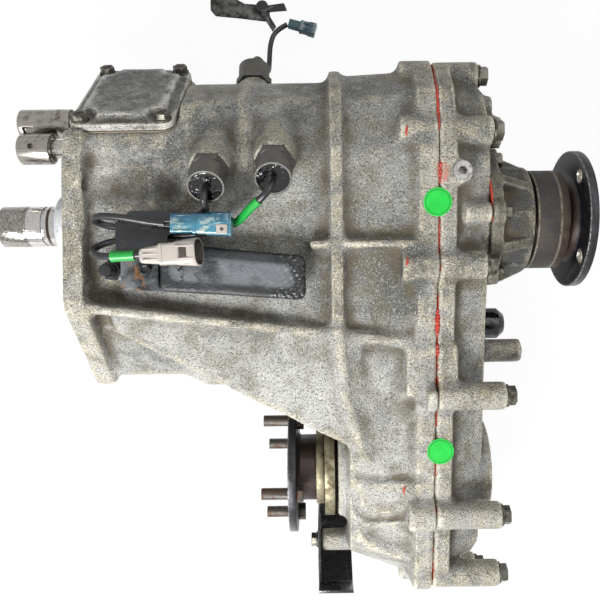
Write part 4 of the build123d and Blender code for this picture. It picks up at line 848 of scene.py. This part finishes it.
DUST = (0.20, 0.185, 0.155)
black_paint = coating("black_paint_gloss", (0.012, 0.013, 0.015), DUST, 0.26, 0.2, 9, 0.0006, 7.0)
black_plastic = coating("black_plastic_potting", (0.004, 0.004, 0.005), DUST, 0.10, 0.03, 5, 0.0011, 9.0)
lead_sheath = coating("lead_sheath_rubber", (0.012, 0.012, 0.014), DUST, 0.34, 0.1, 4)
green_sleeve = coating("lead_sheath_green", (0.012, 0.30, 0.045), (0.02, 0.12, 0.03), 0.32, 0.3, 5)
seal_rubber = coating("seal_rubber_brown", (0.06, 0.025, 0.015), DUST, 0.6, 0.3)
gasket_paint = coating("gasket_sealant", (0.16, 0.13, 0.085), DUST, 0.6, 0.5, 3)


def plug_with_painted_light(name, deep, pale, cream, middle_y):
    """Coloured plastic: deep at one side, and painted light at the other, paler with cream patches."""
    paint = Paint(name)
    mottle = paint.noise(6, 4, 0.6)
    # Painted light: the side towards -Y is paler, with cream patches.
    through = ((middle_y * MM - paint.axis("Y")) * 90.0 + mottle * 1.1).step(0.25, 1.0)
    tint = paint.mix(through, deep, pale)
    painted_light_patches = (through * paint.noise(8, 4, 0.65, stretch=(0.5, 1.2, 1), shift=(0.1, 0, 0.3)).step(0.50, 0.62))
    tint = paint.mix((painted_light_patches * 0.85).clamp(), tint, cream)
    grit = paint.noise(1.4, 2, 0.7).step(0.62, 0.72) * 0.5
    tint = paint.mix(grit, tint, (0.05, 0.06, 0.05))
    return paint.finish(tint, (0.20 + painted_light_patches * 0.2).clamp(), 0.0, mottle, 0.0002, Coat_Weight=0.5)


blue_plastic = plug_with_painted_light("blue_plastic_clear", (0.008, 0.070, 0.120), (0.040, 0.190, 0.270),
                            (0.42, 0.47, 0.38), -7.0)
white_plastic = coating("white_plastic_moulded", (0.44, 0.40, 0.365), (0.13, 0.105, 0.085), 0.30, 0.75, 5)
# Painted shade: a dark brown for the inside of the white plug's mouth, its slot and the blue plug's eye.
opening_painted_shade = coating("plug_opening_painted_shade", (0.045, 0.036, 0.029), DUST, 0.5, 0.2)
teal_plastic = coating("teal_plastic_clear", (0.008, 0.075, 0.098), (0.20, 0.28, 0.27), 0.22, 0.45, 5,
                       Coat_Weight=0.5)


def chipped_paint():
    """Black paint with a painted blue-grey sheen, and rust where it has chipped at the bracket's left edge."""
    paint = Paint("black_paint_bracket")
    painted_sheen = paint.noise(22, 4, 0.6).step(0.42, 0.62)
    chip = (0.068 - paint.axis("X")).step(0.0, 0.006) * paint.noise(5, 3, 0.6).step(0.50, 0.60)
    tint = paint.mix(painted_sheen * 0.8, (0.008, 0.009, 0.010), (0.120, 0.135, 0.145))
    tint = paint.mix(chip * 0.85, tint, (0.20, 0.085, 0.035))
    return paint.finish(tint, (0.24 + painted_sheen * 0.2 + chip * 0.3).clamp(), 0.0, paint.noise(3, 3), 0.0004)


bracket_paint = chipped_paint()
COATING_OF = {
    bracket_paint: ["damper_bracket"],
    black_paint: ["damper_bolts", "case_stud", "connector_bracket", "protector"],
    black_plastic: ["switch_caps", "speed_sensor", "lead_clip"],
    seal_rubber: ["output_seals"],
    gasket_paint: ["side_cover_gasket"],
}
for material, names in COATING_OF.items():
    for name in names:
        dress(name, material)
print("coated nodes", sum(len(names) for names in COATING_OF.values()))

# %% [markdown]
# The other visible nodes keep their own shape. Their flat faces are joined again, a narrow bevel rounds
# the edges, and the bolt heads get the dish that forged heads have.

# %% Softened edges
SLOT_OF = {entry["node"]: entry["material_slot"] for entry in frame["record"]["subparts"]}
DISHED = ["case_bolts", "extension_bolts", "m8_bolts", "damper_bolts"]
HEAD_AREA = 5e-5
DISH_RIM, DISH_WALL, DISH_DEPTH = 1.9, 0.7, 0.9
EDGE_WIDTH = 0.35
EDGE_ANGLE = 32.0


def dish_heads(work):
    """Draws in and sinks the six-cornered top of each bolt head, and counts them."""
    heads = [face for face in work.faces if len(face.verts) == 6 and face.calc_area() > HEAD_AREA]
    for head in heads:
        bmesh.ops.inset_individual(work, faces=[head], thickness=DISH_RIM * MM, depth=0.0)
        bmesh.ops.inset_individual(work, faces=[head], thickness=DISH_WALL * MM, depth=-DISH_DEPTH * MM)
        head.material_index = 1
    return len(heads)


def soften(name):
    """A node's copy with merged points and joined flat faces, whose edges a narrow bevel rounds."""
    mesh = nodes[name].data.copy()
    piece = bpy.data.objects.new(name + "_soft", mesh)
    scene.collection.objects.link(piece)
    work = bmesh.new()
    work.from_mesh(mesh)
    bmesh.ops.remove_doubles(work, verts=work.verts, dist=2e-6)
    bmesh.ops.dissolve_limit(work, angle_limit=math.radians(0.5), verts=work.verts, edges=work.edges)
    if name in DISHED:
        print(name, "dished heads", dish_heads(work))
        mesh.materials.append(head_shade)
    work.to_mesh(mesh)
    work.free()
    mesh.shade_smooth()
    bevel = piece.modifiers.new("bevel", "BEVEL")
    bevel.width = EDGE_WIDTH * MM
    bevel.segments = 2
    bevel.limit_method = "ANGLE"
    bevel.angle_limit = math.radians(EDGE_ANGLE)
    bevel.harden_normals = True
    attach(piece, nodes[name]["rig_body"])
    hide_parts(name)


EDGED = ["input_shaft", "range_rail", "range_rail_head", "drive_rail", "drive_rail_head", "case_bolts",
         "extension_bolts", "m8_bolts", "damper_bolts", "oil_plugs", "rear_flange", "front_flange",
         "rear_flange_nut", "front_flange_nut", "front_flange_studs", "rear_dust_deflector",
         "front_dust_deflectors", "range_switch", "drive_switch", "neutral_switch", "speed_sensor", "case_stud",
         "connector_bracket", "damper_bracket", "protector", "lead_bracket", "lead_clip"]
for name in EDGED:
    soften(name)
print("softened nodes", len(EDGED))

# %% [markdown]
# Each of the two upper switches has a hexagon at its foot, where a spanner holds it.

# %% Switch hexagons
hexagons = [tube(along_switch(place, (30.2, 31.0, 36.2, 37.0)), [15.0, 15.9, 15.9, 15.0], 6)
            for place in SWITCH_PLACES]
mesh_piece("switch_hexagons", *join(*hexagons), switch_steel, SLOT_OF["range_switch"], sharp=25.0)
print("hexagons", len(hexagons))

# %% [markdown]
# Two leads are clipped between the switches and their plugs. Each is a NURBS through the points of the solid
# model's route. A green sleeve covers a stretch of the longer one, and three thin wires leave the other's
# sheath.

# %% Clipped leads
RANGE_ROUTE = [(117, 16.75, 96.9), (117, 10.0, 104.5), (116.5, 3.2, 103.0), (116, 2.7, 84.0),
               (112, 1.5, 73.5), (94, -6, 68.5), (66, -9, 66.0), (40, -9, 66.5), (28, -5, 74.0),
               (32, -2, 85.5), (52, -3.5, 89.5), (74, -8, 88.6), (84.5, -9, 88.0)]
DRIVE_ROUTE = [(166.5, 21.7, 98.95), (166, 15.0, 106.4), (160, 7.5, 107.0), (150, 1.0, 98.0),
               (144, -3.0, 86.0), (135, -8.5, 73.5), (110, -14.5, 66.5), (82, -15.5, 62.5),
               (54, -16.5, 61.0), (34, -20, 64.0), (25, -27, 75.0), (34, -32.5, 87.0), (52, -33.0, 91.3),
               (67.8, -32.0, 92.0)]
SLEEVE_R = 3.3
SLEEVE_X = (134, 157)
PLUG_SLEEVE_X = (45, 64)
WIRE_R = 0.9
for name, route in (("range_lead", RANGE_ROUTE), ("drive_lead", DRIVE_ROUTE)):
    lead = route_curve(name + "_curve", route, LEAD_R)
    lead.data.materials.append(lead_sheath)
    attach(lead, "case")
    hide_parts(name)
neutral_lead.data.materials.append(lead_sheath)

drive_line = centre_line("drive_line", DRIVE_ROUTE) / MM
x, y = drive_line[:, 0], drive_line[:, 1]
near_switch = drive_line[(x > SLEEVE_X[0]) & (x < SLEEVE_X[1])]
near_plug = drive_line[(x > PLUG_SLEEVE_X[0]) & (x < PLUG_SLEEVE_X[1]) & (y < -30)]
flare = 3.9 + 0.5 * np.linspace(1, 0, len(near_plug)) ** 3
mesh_piece("green_sleeve_switch", *tube(near_switch, SLEEVE_R), green_sleeve, "lead_sheath")
mesh_piece("green_sleeve_plug", *tube(near_plug, flare), green_sleeve, "lead_sheath")
wires = [tube([(80, y - 9, z + 88), (86, 1.5 * y - 9, 1.5 * z + 88), (91.5, 1.8 * y - 9, 1.8 * z + 88)], WIRE_R)
         for y, z in ((1.2, 0.9), (-1.2, 0.9), (0, -1.2))]
mesh_piece("range_wires", *join(*wires), lead_sheath, "lead_sheath")
print("sleeve points", len(near_switch), len(near_plug))

# %% [markdown]
# The collar that holds the input bearing is turned: a profile of (x, radius) points spun about the shaft.


# %% Input collar
def spun(profile, count=72):
    """Rings of equal points about the X axis, one for each (x, radius) of the profile."""
    turn = np.linspace(0, 2 * np.pi, count, endpoint=False)
    rings = [np.column_stack([np.full(count, x), radius * np.cos(turn), radius * np.sin(turn)])
             for x, radius in profile]
    faces = grid_faces(len(rings), count)[:, ::-1]
    return np.concatenate(rings), faces


COLLAR = [(-20.6, 17.7), (-22.0, 18.2), (-22.8, 19.4), (-23.0, 22.0), (-22.6, 24.4), (-21.2, 26.2),
          (-18, 27.4), (-11, 28.6), (-0.6, 29.8), (-0.6, 17.8), (-20.6, 17.7)]
mesh_piece("input_collar", *spun(COLLAR), collar_aluminium, SLOT_OF["input_retainer"])
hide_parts("input_retainer")
print("collar rings", len(COLLAR))

# %% [markdown]
# The plugs are lofts of rounded rectangles along their length. Their collars are short steps in width, and
# latches, windows and ribs are small blocks on top.

# %% Plug tools
BAR_EDGE = 0.4
MOUTH_LEAN, LEAN_START, LEAN_LENGTH = 0.22, 30, 12


def bar(start, end, width, height, sideways, up):
    """A small block along a housing, with its ends drawn in a little."""
    soft = min(BAR_EDGE, (end - start) / 4)
    return loft([(start, width - 0.6, height - 0.6, BAR_EDGE, sideways, up),
                 (start + soft, width, height, BAR_EDGE, sideways, up),
                 (end - soft, width, height, BAR_EDGE, sideways, up),
                 (end, width - 0.6, height - 0.6, BAR_EDGE, sideways, up)])


def placed(mesh, origin, turn=0.0):
    """A mesh moved to a place and turned about the vertical by degrees."""
    points, faces = mesh
    angle = math.radians(turn)
    x = points[:, 0] * math.cos(angle) - points[:, 1] * math.sin(angle)
    y = points[:, 0] * math.sin(angle) + points[:, 1] * math.cos(angle)
    return np.column_stack([x, y, points[:, 2]]) + origin, faces


def leaning(mesh):
    """A mouth that leans back: past the lean's start, each point moves by lean times its height."""
    points, faces = mesh
    share = np.clip((points[:, 0] - LEAN_START) / LEAN_LENGTH, 0, 1)
    points[:, 0] -= MOUTH_LEAN * points[:, 2] * share
    return points, faces


print("a bar has", len(bar(0, 10, 2, 2, 0, 0)[1]), "faces")

# %% [markdown]
# The blue plug is the longest. A window of four bars frames its latch, and a pale retainer lies beside it.

# %% Blue plug
BLUE_AT, BLUE_TURN, BLUE_TOP = (90.0, -9.0, 88.0), -1.5, 8.1
blue_body = loft([(0, 13.6, 13.2, 2.4), (0.6, 15.2, 14.8, 2.4), (1.6, 15.2, 14.8, 2.4),
                  (2.0, 14.4, 14.0, 2.2), (16.4, 14.4, 14.0, 2.2), (16.8, 16.4, 16.0, 2.4),
                  (18.8, 16.4, 16.0, 2.4), (19.2, 15.6, 15.2, 2.2), (26.2, 15.6, 15.2, 2.2),
                  (26.8, 16.6, 16.2, 2.6), (43.6, 17.0, 16.2, 2.2), (44.2, 17.8, 16.8, 2.2),
                  (45.0, 17.4, 16.4, 2.0)])
latch = loft([(28, 2.5, 1.0, 0.4, 3.6, BLUE_TOP), (31.5, 8.6, 2.4, 0.8, 3.6, BLUE_TOP),
              (43.0, 8.6, 2.4, 0.8, 3.6, BLUE_TOP), (43.6, 7.6, 1.6, 0.6, 3.6, BLUE_TOP)])
window = [bar(33.5, 42.4, 0.9, 1.0, side, BLUE_TOP + 1.4) for side in (0.6, 6.8)]
window += [bar(33.5, 34.4, 7.0, 1.0, 3.7, BLUE_TOP + 1.4), bar(38.0, 38.8, 5.6, 0.9, 3.7, BLUE_TOP + 1.3)]
ribs = [bar(2.5, 16, 1.0, 1.0, side, 7.1) for side in (-5.6, 0.0, 5.6)]
mesh_piece("blue_plug", *placed(join(blue_body, latch, *window, *ribs), BLUE_AT, BLUE_TURN), blue_plastic,
           "blue_plastic")
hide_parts("blue_connector")
mesh_piece("blue_plug_retainer", *placed(bar(34.5, 42.6, 7.0, 2.6, -4.4, BLUE_TOP), BLUE_AT, BLUE_TURN),
           white_plastic, "white_plastic")
eye = tube([(38.6, -4.4, BLUE_TOP), (38.6, -4.4, BLUE_TOP + 1.45)], 1.7, 4)
mesh_piece("blue_plug_eye", *placed(eye, BLUE_AT, BLUE_TURN), opening_painted_shade, "black_plastic")

# %% [markdown]
# The off-white plug widens towards an oval mouth, whose inside is painted dark as shade, and which leans back.

# %% Off-white plug
WHITE_AT, WHITE_TURN, WHITE_TOP = (67.5, -33.0, 91.5), 3.6, 7.6
white_shell = leaning(loft([
    (0, 9.0, 8.2, 3.0), (0.6, 10.4, 9.4, 3.0), (3, 11.4, 10.2, 2.6),
    (14.2, 14.0, 12.4, 2.6), (14.8, 16.0, 14.2, 2.6), (17, 16.6, 14.8, 2.6),
    (17.4, 15.8, 14.0, 2.6), (26.4, 16.4, 14.6, 3.0), (27.2, 17.4, 15.2, 3.4),
    (34, 18.8, 16.2, 4.2), (40, 20.4, 17.2, 6.0), (42.6, 21.0, 17.6, 7.0),
    (43.2, 20.4, 17.0, 7.0), (43.2, 18.8, 15.4, 6.6)], (True, False)))
white_ribs = [bar(2.5, 14.4, 1.1, 1.4, side, 5.6) for side in (-3.4, 0.6, 4.2)]
white_rails = [bar(27, 41, 1.3, 2.6, side, WHITE_TOP) for side in (-4.6, 4.6)]
white_bridge = bar(27, 29.5, 9.4, 2.2, 0, WHITE_TOP)
mesh_piece("white_plug", *placed(join(white_shell, *white_ribs, *white_rails, white_bridge), WHITE_AT,
                                 WHITE_TURN), white_plastic, "white_plastic")
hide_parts("white_connector")
mouth = leaning(loft([(43.2, 18.8, 15.4, 6.6), (36.5, 17.8, 14.4, 6.0)], (False, True)))
slot_plate = bar(30, 36.5, 7.4, 1.6, 0, WHITE_TOP - 0.1)
mesh_piece("white_plug_mouth", *placed(join(mouth, slot_plate), WHITE_AT, WHITE_TURN), opening_painted_shade,
           "black_plastic")

# %% [markdown]
# The teal plug ends the free lead, and rides the case's body as the lead does.

# %% Teal plug
TEAL_AT, TEAL_TURN = (168.9, 224.4, -126.6), -16
teal_body = loft([(0, 7.4, 6.2, 1.4), (0.5, 9.0, 7.6, 1.6), (12, 9.2, 7.8, 1.6),
                  (12.6, 12.2, 10.2, 1.8), (14.6, 12.2, 10.2, 1.8), (15, 11.4, 9.6, 1.6),
                  (21, 11.6, 9.8, 1.6), (21.6, 12.8, 10.6, 1.8), (28.6, 13.0, 10.8, 1.8),
                  (29, 12.4, 10.2, 1.6)])
teal_latch = [bar(16, 27.8, 1.0, 1.4, side, 5.2) for side in (-2.6, 2.6)] + [bar(26, 27.8, 6.0, 1.2, 0, 5.3)]
mesh_piece("teal_plug", *placed(join(teal_body, *teal_latch), TEAL_AT, TEAL_TURN), teal_plastic,
           "teal_plastic")
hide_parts("teal_connector")

# %% [markdown]
# The damper's weight is wrapped in bitumen sheet, which creases at its ends. Its skin is pushed in and out
# along its normals by a sum of slanted waves, weak along the middle and strong at the far end.

# %% Damper
TAR_FROM_X, CRACK_X = 0.158, 0.092
CREASE_FROM_X, CREASE_LENGTH = 160, 22
WAVES = [((1.1, 0.7, 0.3), 0.4), ((-0.8, 1.5, 0.9), 1.9), ((1.9, -1.3, 1.1), 2.6)]


def bitumen():
    """Black sheet with a painted blue-grey sheen, kept off its edges, a crack across it and a tarry end."""
    paint = Paint("black_paint_bitumen")
    # The edges stay black, without the painted sheen.
    edge = (paint.attribute("shoulder").step(0.05, 0.5) + paint.attribute("worn").step(0.2, 0.8)).clamp()
    painted_sheen = paint.noise(26, 4, 0.6).step(0.26, 0.50) * (1.0 - edge * 0.95)
    fold = paint.noise(7, 4, 0.75)
    crack = (paint.axis("X") - CRACK_X).maths("ABSOLUTE").step(0.0045, 0.001) * fold.step(0.5, 0.56)
    tint = paint.mix(painted_sheen * 0.9, (0.005, 0.006, 0.007), (0.145, 0.158, 0.170))
    tint = paint.mix(crack, tint, (0.004, 0.004, 0.005))
    tarry = (paint.axis("X") - TAR_FROM_X).step(0.0, 0.010)
    rough = (0.46 + (fold - 0.5) * 0.2 - tarry * 0.34 * (1.0 - painted_sheen * 0.6)).clamp()
    return paint.finish(tint, rough, 0.0, fold, 0.0012)


damper = skin("damper_weight", "damper_skin", 1.0, 6, bitumen())
places, normals = rows_of(damper.data.vertices, "co") / MM, rows_of(damper.data.vertices, "normal")
end = np.clip((places[:, 0] - CREASE_FROM_X) / CREASE_LENGTH, 0, 1) ** 2
waves = sum(np.sin(places @ np.array(direction) + phase) for direction, phase in WAVES)
slow = np.sin(places @ np.array([0.13, 0.31, 0.2]) + 1.0)
shift = 0.12 * waves * (0.25 + 3.6 * end) + 0.15 * slow
places += normals * np.clip(shift, -1.2, 0.45)[:, None]
damper.data.vertices.foreach_set("co", (places * MM).ravel())
print("damper wrinkles", round(float(shift.min()), 2), round(float(shift.max()), 2), "mm")

# %% [markdown]
# Two round labels, printed green and left bare here, are stuck on the casting. Each is a disc on a polar
# grid, dropped onto the casting below it, so that it follows the surface.


# %% Labels
LABEL_R = 11.0
LABEL_LIFT = 0.35
castings = surface_of(front_skin, rear_skin)


def drop(x, y):
    """The height in millimetres of the highest casting under a place in millimetres."""
    hits = [tree.ray_cast(Vector((x * MM, y * MM, 0.2)), Vector((0, 0, -1)))[0] for tree in castings]
    heights = [hit.z / MM for hit in hits if hit]
    return max(heights) if heights else 0.0


def rest_height(x, y):
    """The casting's height, taken across the narrow joint so that nothing falls into it."""
    return max(drop(x + step, y) for step in (-1.4, 0.0, 1.4))


def label(name, centre, material):
    """A disc on a polar grid, closed at its middle by one small face. Its height is the second-degree
    surface fitted to the casting, plus a lift."""
    rings, spokes = 9, 40
    reach = np.linspace(0.02, 1, rings)[:, None] * LABEL_R
    turn = np.linspace(0, 2 * np.pi, spokes, endpoint=False)[None, :]
    x, y = (centre[0] + reach * np.cos(turn)).ravel(), (centre[1] + reach * np.sin(turn)).ravel()
    z = np.array([rest_height(*place) for place in zip(x, y)])
    across, along = (x - centre[0]) / LABEL_R, (y - centre[1]) / LABEL_R
    terms = np.stack([np.ones_like(x), across, along, across ** 2, across * along, along ** 2], axis=1)
    smooth = terms @ np.linalg.lstsq(terms, z, rcond=None)[0]
    top = np.stack([x, y, smooth + np.percentile(z - smooth, 92) + LABEL_LIFT], axis=1)
    rim = top[-spokes:] - [0, 0, LABEL_LIFT + 0.4]
    faces = grid_faces(rings + 1, spokes)[:, ::-1].tolist() + [list(range(spokes))]
    return mesh_piece(name, np.concatenate([top, rim]), faces, material, "cast_aluminium")


def label_paint(name, centre):
    """Green vinyl with a thin dark ring at a share of the label's radius."""
    paint = Paint(name)
    across = (paint.axis("X") - centre[0] * MM) * 1000.0
    along = (paint.axis("Y") - centre[1] * MM) * 1000.0
    reach = (across * across + along * along).maths("SQRT")
    ring = 1.0 - (reach - LABEL_R * 0.86).maths("ABSOLUTE").step(0.22, 0.5)
    tint = paint.mix(paint.noise(7, 4).step(0.35, 0.75), (0.004, 0.42, 0.035), (0.006, 0.52, 0.05))
    return paint.finish(paint.mix(ring * 0.8, tint, (0.003, 0.10, 0.015)), 0.35)


for number, place in enumerate([(291.2, 7.4), (296.5, -193.5)], 1):
    disc = label(f"round_label_{number}", place, label_paint(f"label_green_{number}", place))
    print(disc.name, "at", place, "with", len(disc.data.polygons), "faces")

# %% [markdown]
# Red sealant has squeezed out of the joints. Each bead is a tube along the joint, whose radius swells and
# shrinks with a sum of two sines, and which is half sunk in the casting.

# %% Sealant
REAR_JOINT_X, REAR_JOINT_R = 336.2, 56.0
SEAM_RUNS = [(112.0, 62.0, 0.85), (38.0, 22.0, 1.0), (-6.0, -20.0, 0.5), (-76.0, -97.0, 1.9),
             (-104.0, -113.0, 1.3)]
SPOTS = [(267.5, 62.0, 4.0), (267.0, -38.5, 3.2), (267.5, -228.0, 3.4)]
sealant_red = coating("sealant_red", (0.42, 0.035, 0.018), (0.55, 0.12, 0.07), 0.38, 0.4, 3)


def bead(x, y, sunk, radii):
    """A tube along (x, y) places at the casting's height, sunk in it by some millimetres."""
    z = np.array([rest_height(*place) for place in zip(x, y)])
    return tube(np.stack([x, y, z - sunk], axis=1), radii)


def tapered(count, start, power):
    """Radii that grow and shrink along a bead: a sine from start to pi minus start, to a power."""
    return np.sin(np.linspace(start, np.pi - start, count)) ** power


beads = []
for start_y, end_y, radius in SEAM_RUNS:
    y = np.linspace(start_y, end_y, 40)
    swell = 1 + 0.28 * np.sin(y * 2.3) + 0.2 * np.sin(y * 0.9 + 1)
    radii = radius * tapered(40, 0.05, 0.4) * swell
    beads.append(bead(SEAM_X + 0.25 * np.sin(y * 1.3), y, radius * 0.2, radii))
for spot_x, spot_y, reach in SPOTS:
    y = np.linspace(spot_y - reach, spot_y + reach, 16)
    beads.append(bead(spot_x + 0.5 * np.sin(y * 0.8), y, 0.0, 0.95 * tapered(16, 0.1, 0.5)))
turn = np.linspace(math.radians(58), math.radians(98), 40)
arc = np.stack([np.full(len(turn), REAR_JOINT_X), REAR_JOINT_R * np.cos(turn), REAR_JOINT_R * np.sin(turn)], 1)
beads.append(tube(arc, 1.1 * tapered(40, 0.1, 0.5)))
mesh_piece("sealant_beads", *join(*beads), sealant_red, "gasket")
print("sealant beads", len(beads))

# %% [markdown]
# The light is plain and soft: a pale world, a large lamp above the object and a weaker one from the other
# side. Rays from the camera and mirror rays see white, so the background is white and polished metal shows
# it, while the object is lit only by the plain level.

# %% Light
WORLD_LEVEL = 0.27
world = bpy.data.worlds.new("studio")
scene.world = world
sky = Tree(world)
camera_ray, glossy_ray, through_ray = [sky.node("ShaderNodeLightPath", {}, {}, f"Is {kind} Ray")
                                       for kind in ("Camera", "Glossy", "Transmission")]
seen = camera_ray.maths("MAXIMUM", glossy_ray.maths("MAXIMUM", through_ray))
level = sky.node("ShaderNodeMapRange", {}, {"Value": seen, "To Min": WORLD_LEVEL, "To Max": 1.0}, "Result")
background = sky.node("ShaderNodeBackground", {}, {"Color": (1.0, 1.0, 1.0), "Strength": level}, 0)
sky.feed(sky.tree.nodes.new("ShaderNodeOutputWorld").inputs["Surface"], background)


def lamp(name, place, aim, size, power):
    """An area lamp that looks at a point."""
    data = bpy.data.lights.new(name, "AREA")
    data.size = size
    data.energy = power
    made = bpy.data.objects.new(name, data)
    made.location = place
    made.rotation_euler = (Vector(aim) - Vector(place)).to_track_quat("-Z", "Y").to_euler()
    scene.collection.objects.link(made)


MIDDLE = (0.18, -0.07, 0.0)
lamp("key", (-0.35, -1.15, 0.98), MIDDLE, 0.6, 41.0)
lamp("fill", (0.95, 0.55, 1.2), MIDDLE, 1.2, 9.0)

# %% [markdown]
# The table is one large pale square. The camera sees it almost white, as the photograph's background is,
# while it throws the light of a plain pale surface on the object.

# %% Floor
FLOOR_Z = -136.0
FLOOR_HALF = 4000.0
FLOOR_SHARE = 0.94
floor_paint = Paint("floor_pale")
floor_paint.finish((0.95, 0.95, 0.95), 0.9)
glow = floor_paint.node("ShaderNodeEmission", {}, {"Color": (1.0, 1.0, 1.0)}, 0)
camera_ray = floor_paint.node("ShaderNodeLightPath", {}, {}, "Is Camera Ray")
plain = Value(floor_paint, floor_paint.shader.outputs["BSDF"])
mixed = floor_paint.node("ShaderNodeMixShader", {}, {0: camera_ray * FLOOR_SHARE, 1: plain, 2: glow}, 0)
floor_paint.feed(floor_paint.surface, mixed)
corners = np.array([[-1, -1], [1, -1], [1, 1], [-1, 1]]) * FLOOR_HALF
floor_data = bpy.data.meshes.new("floor")
floor_data.from_pydata([(x * MM, y * MM, FLOOR_Z * MM) for x, y in corners], [], [(0, 1, 2, 3)])
floor_data.materials.append(floor_paint.material)
floor = bpy.data.objects.new("floor", floor_data)
scene.collection.objects.link(floor)
print("floor at z", FLOOR_Z, "mm")
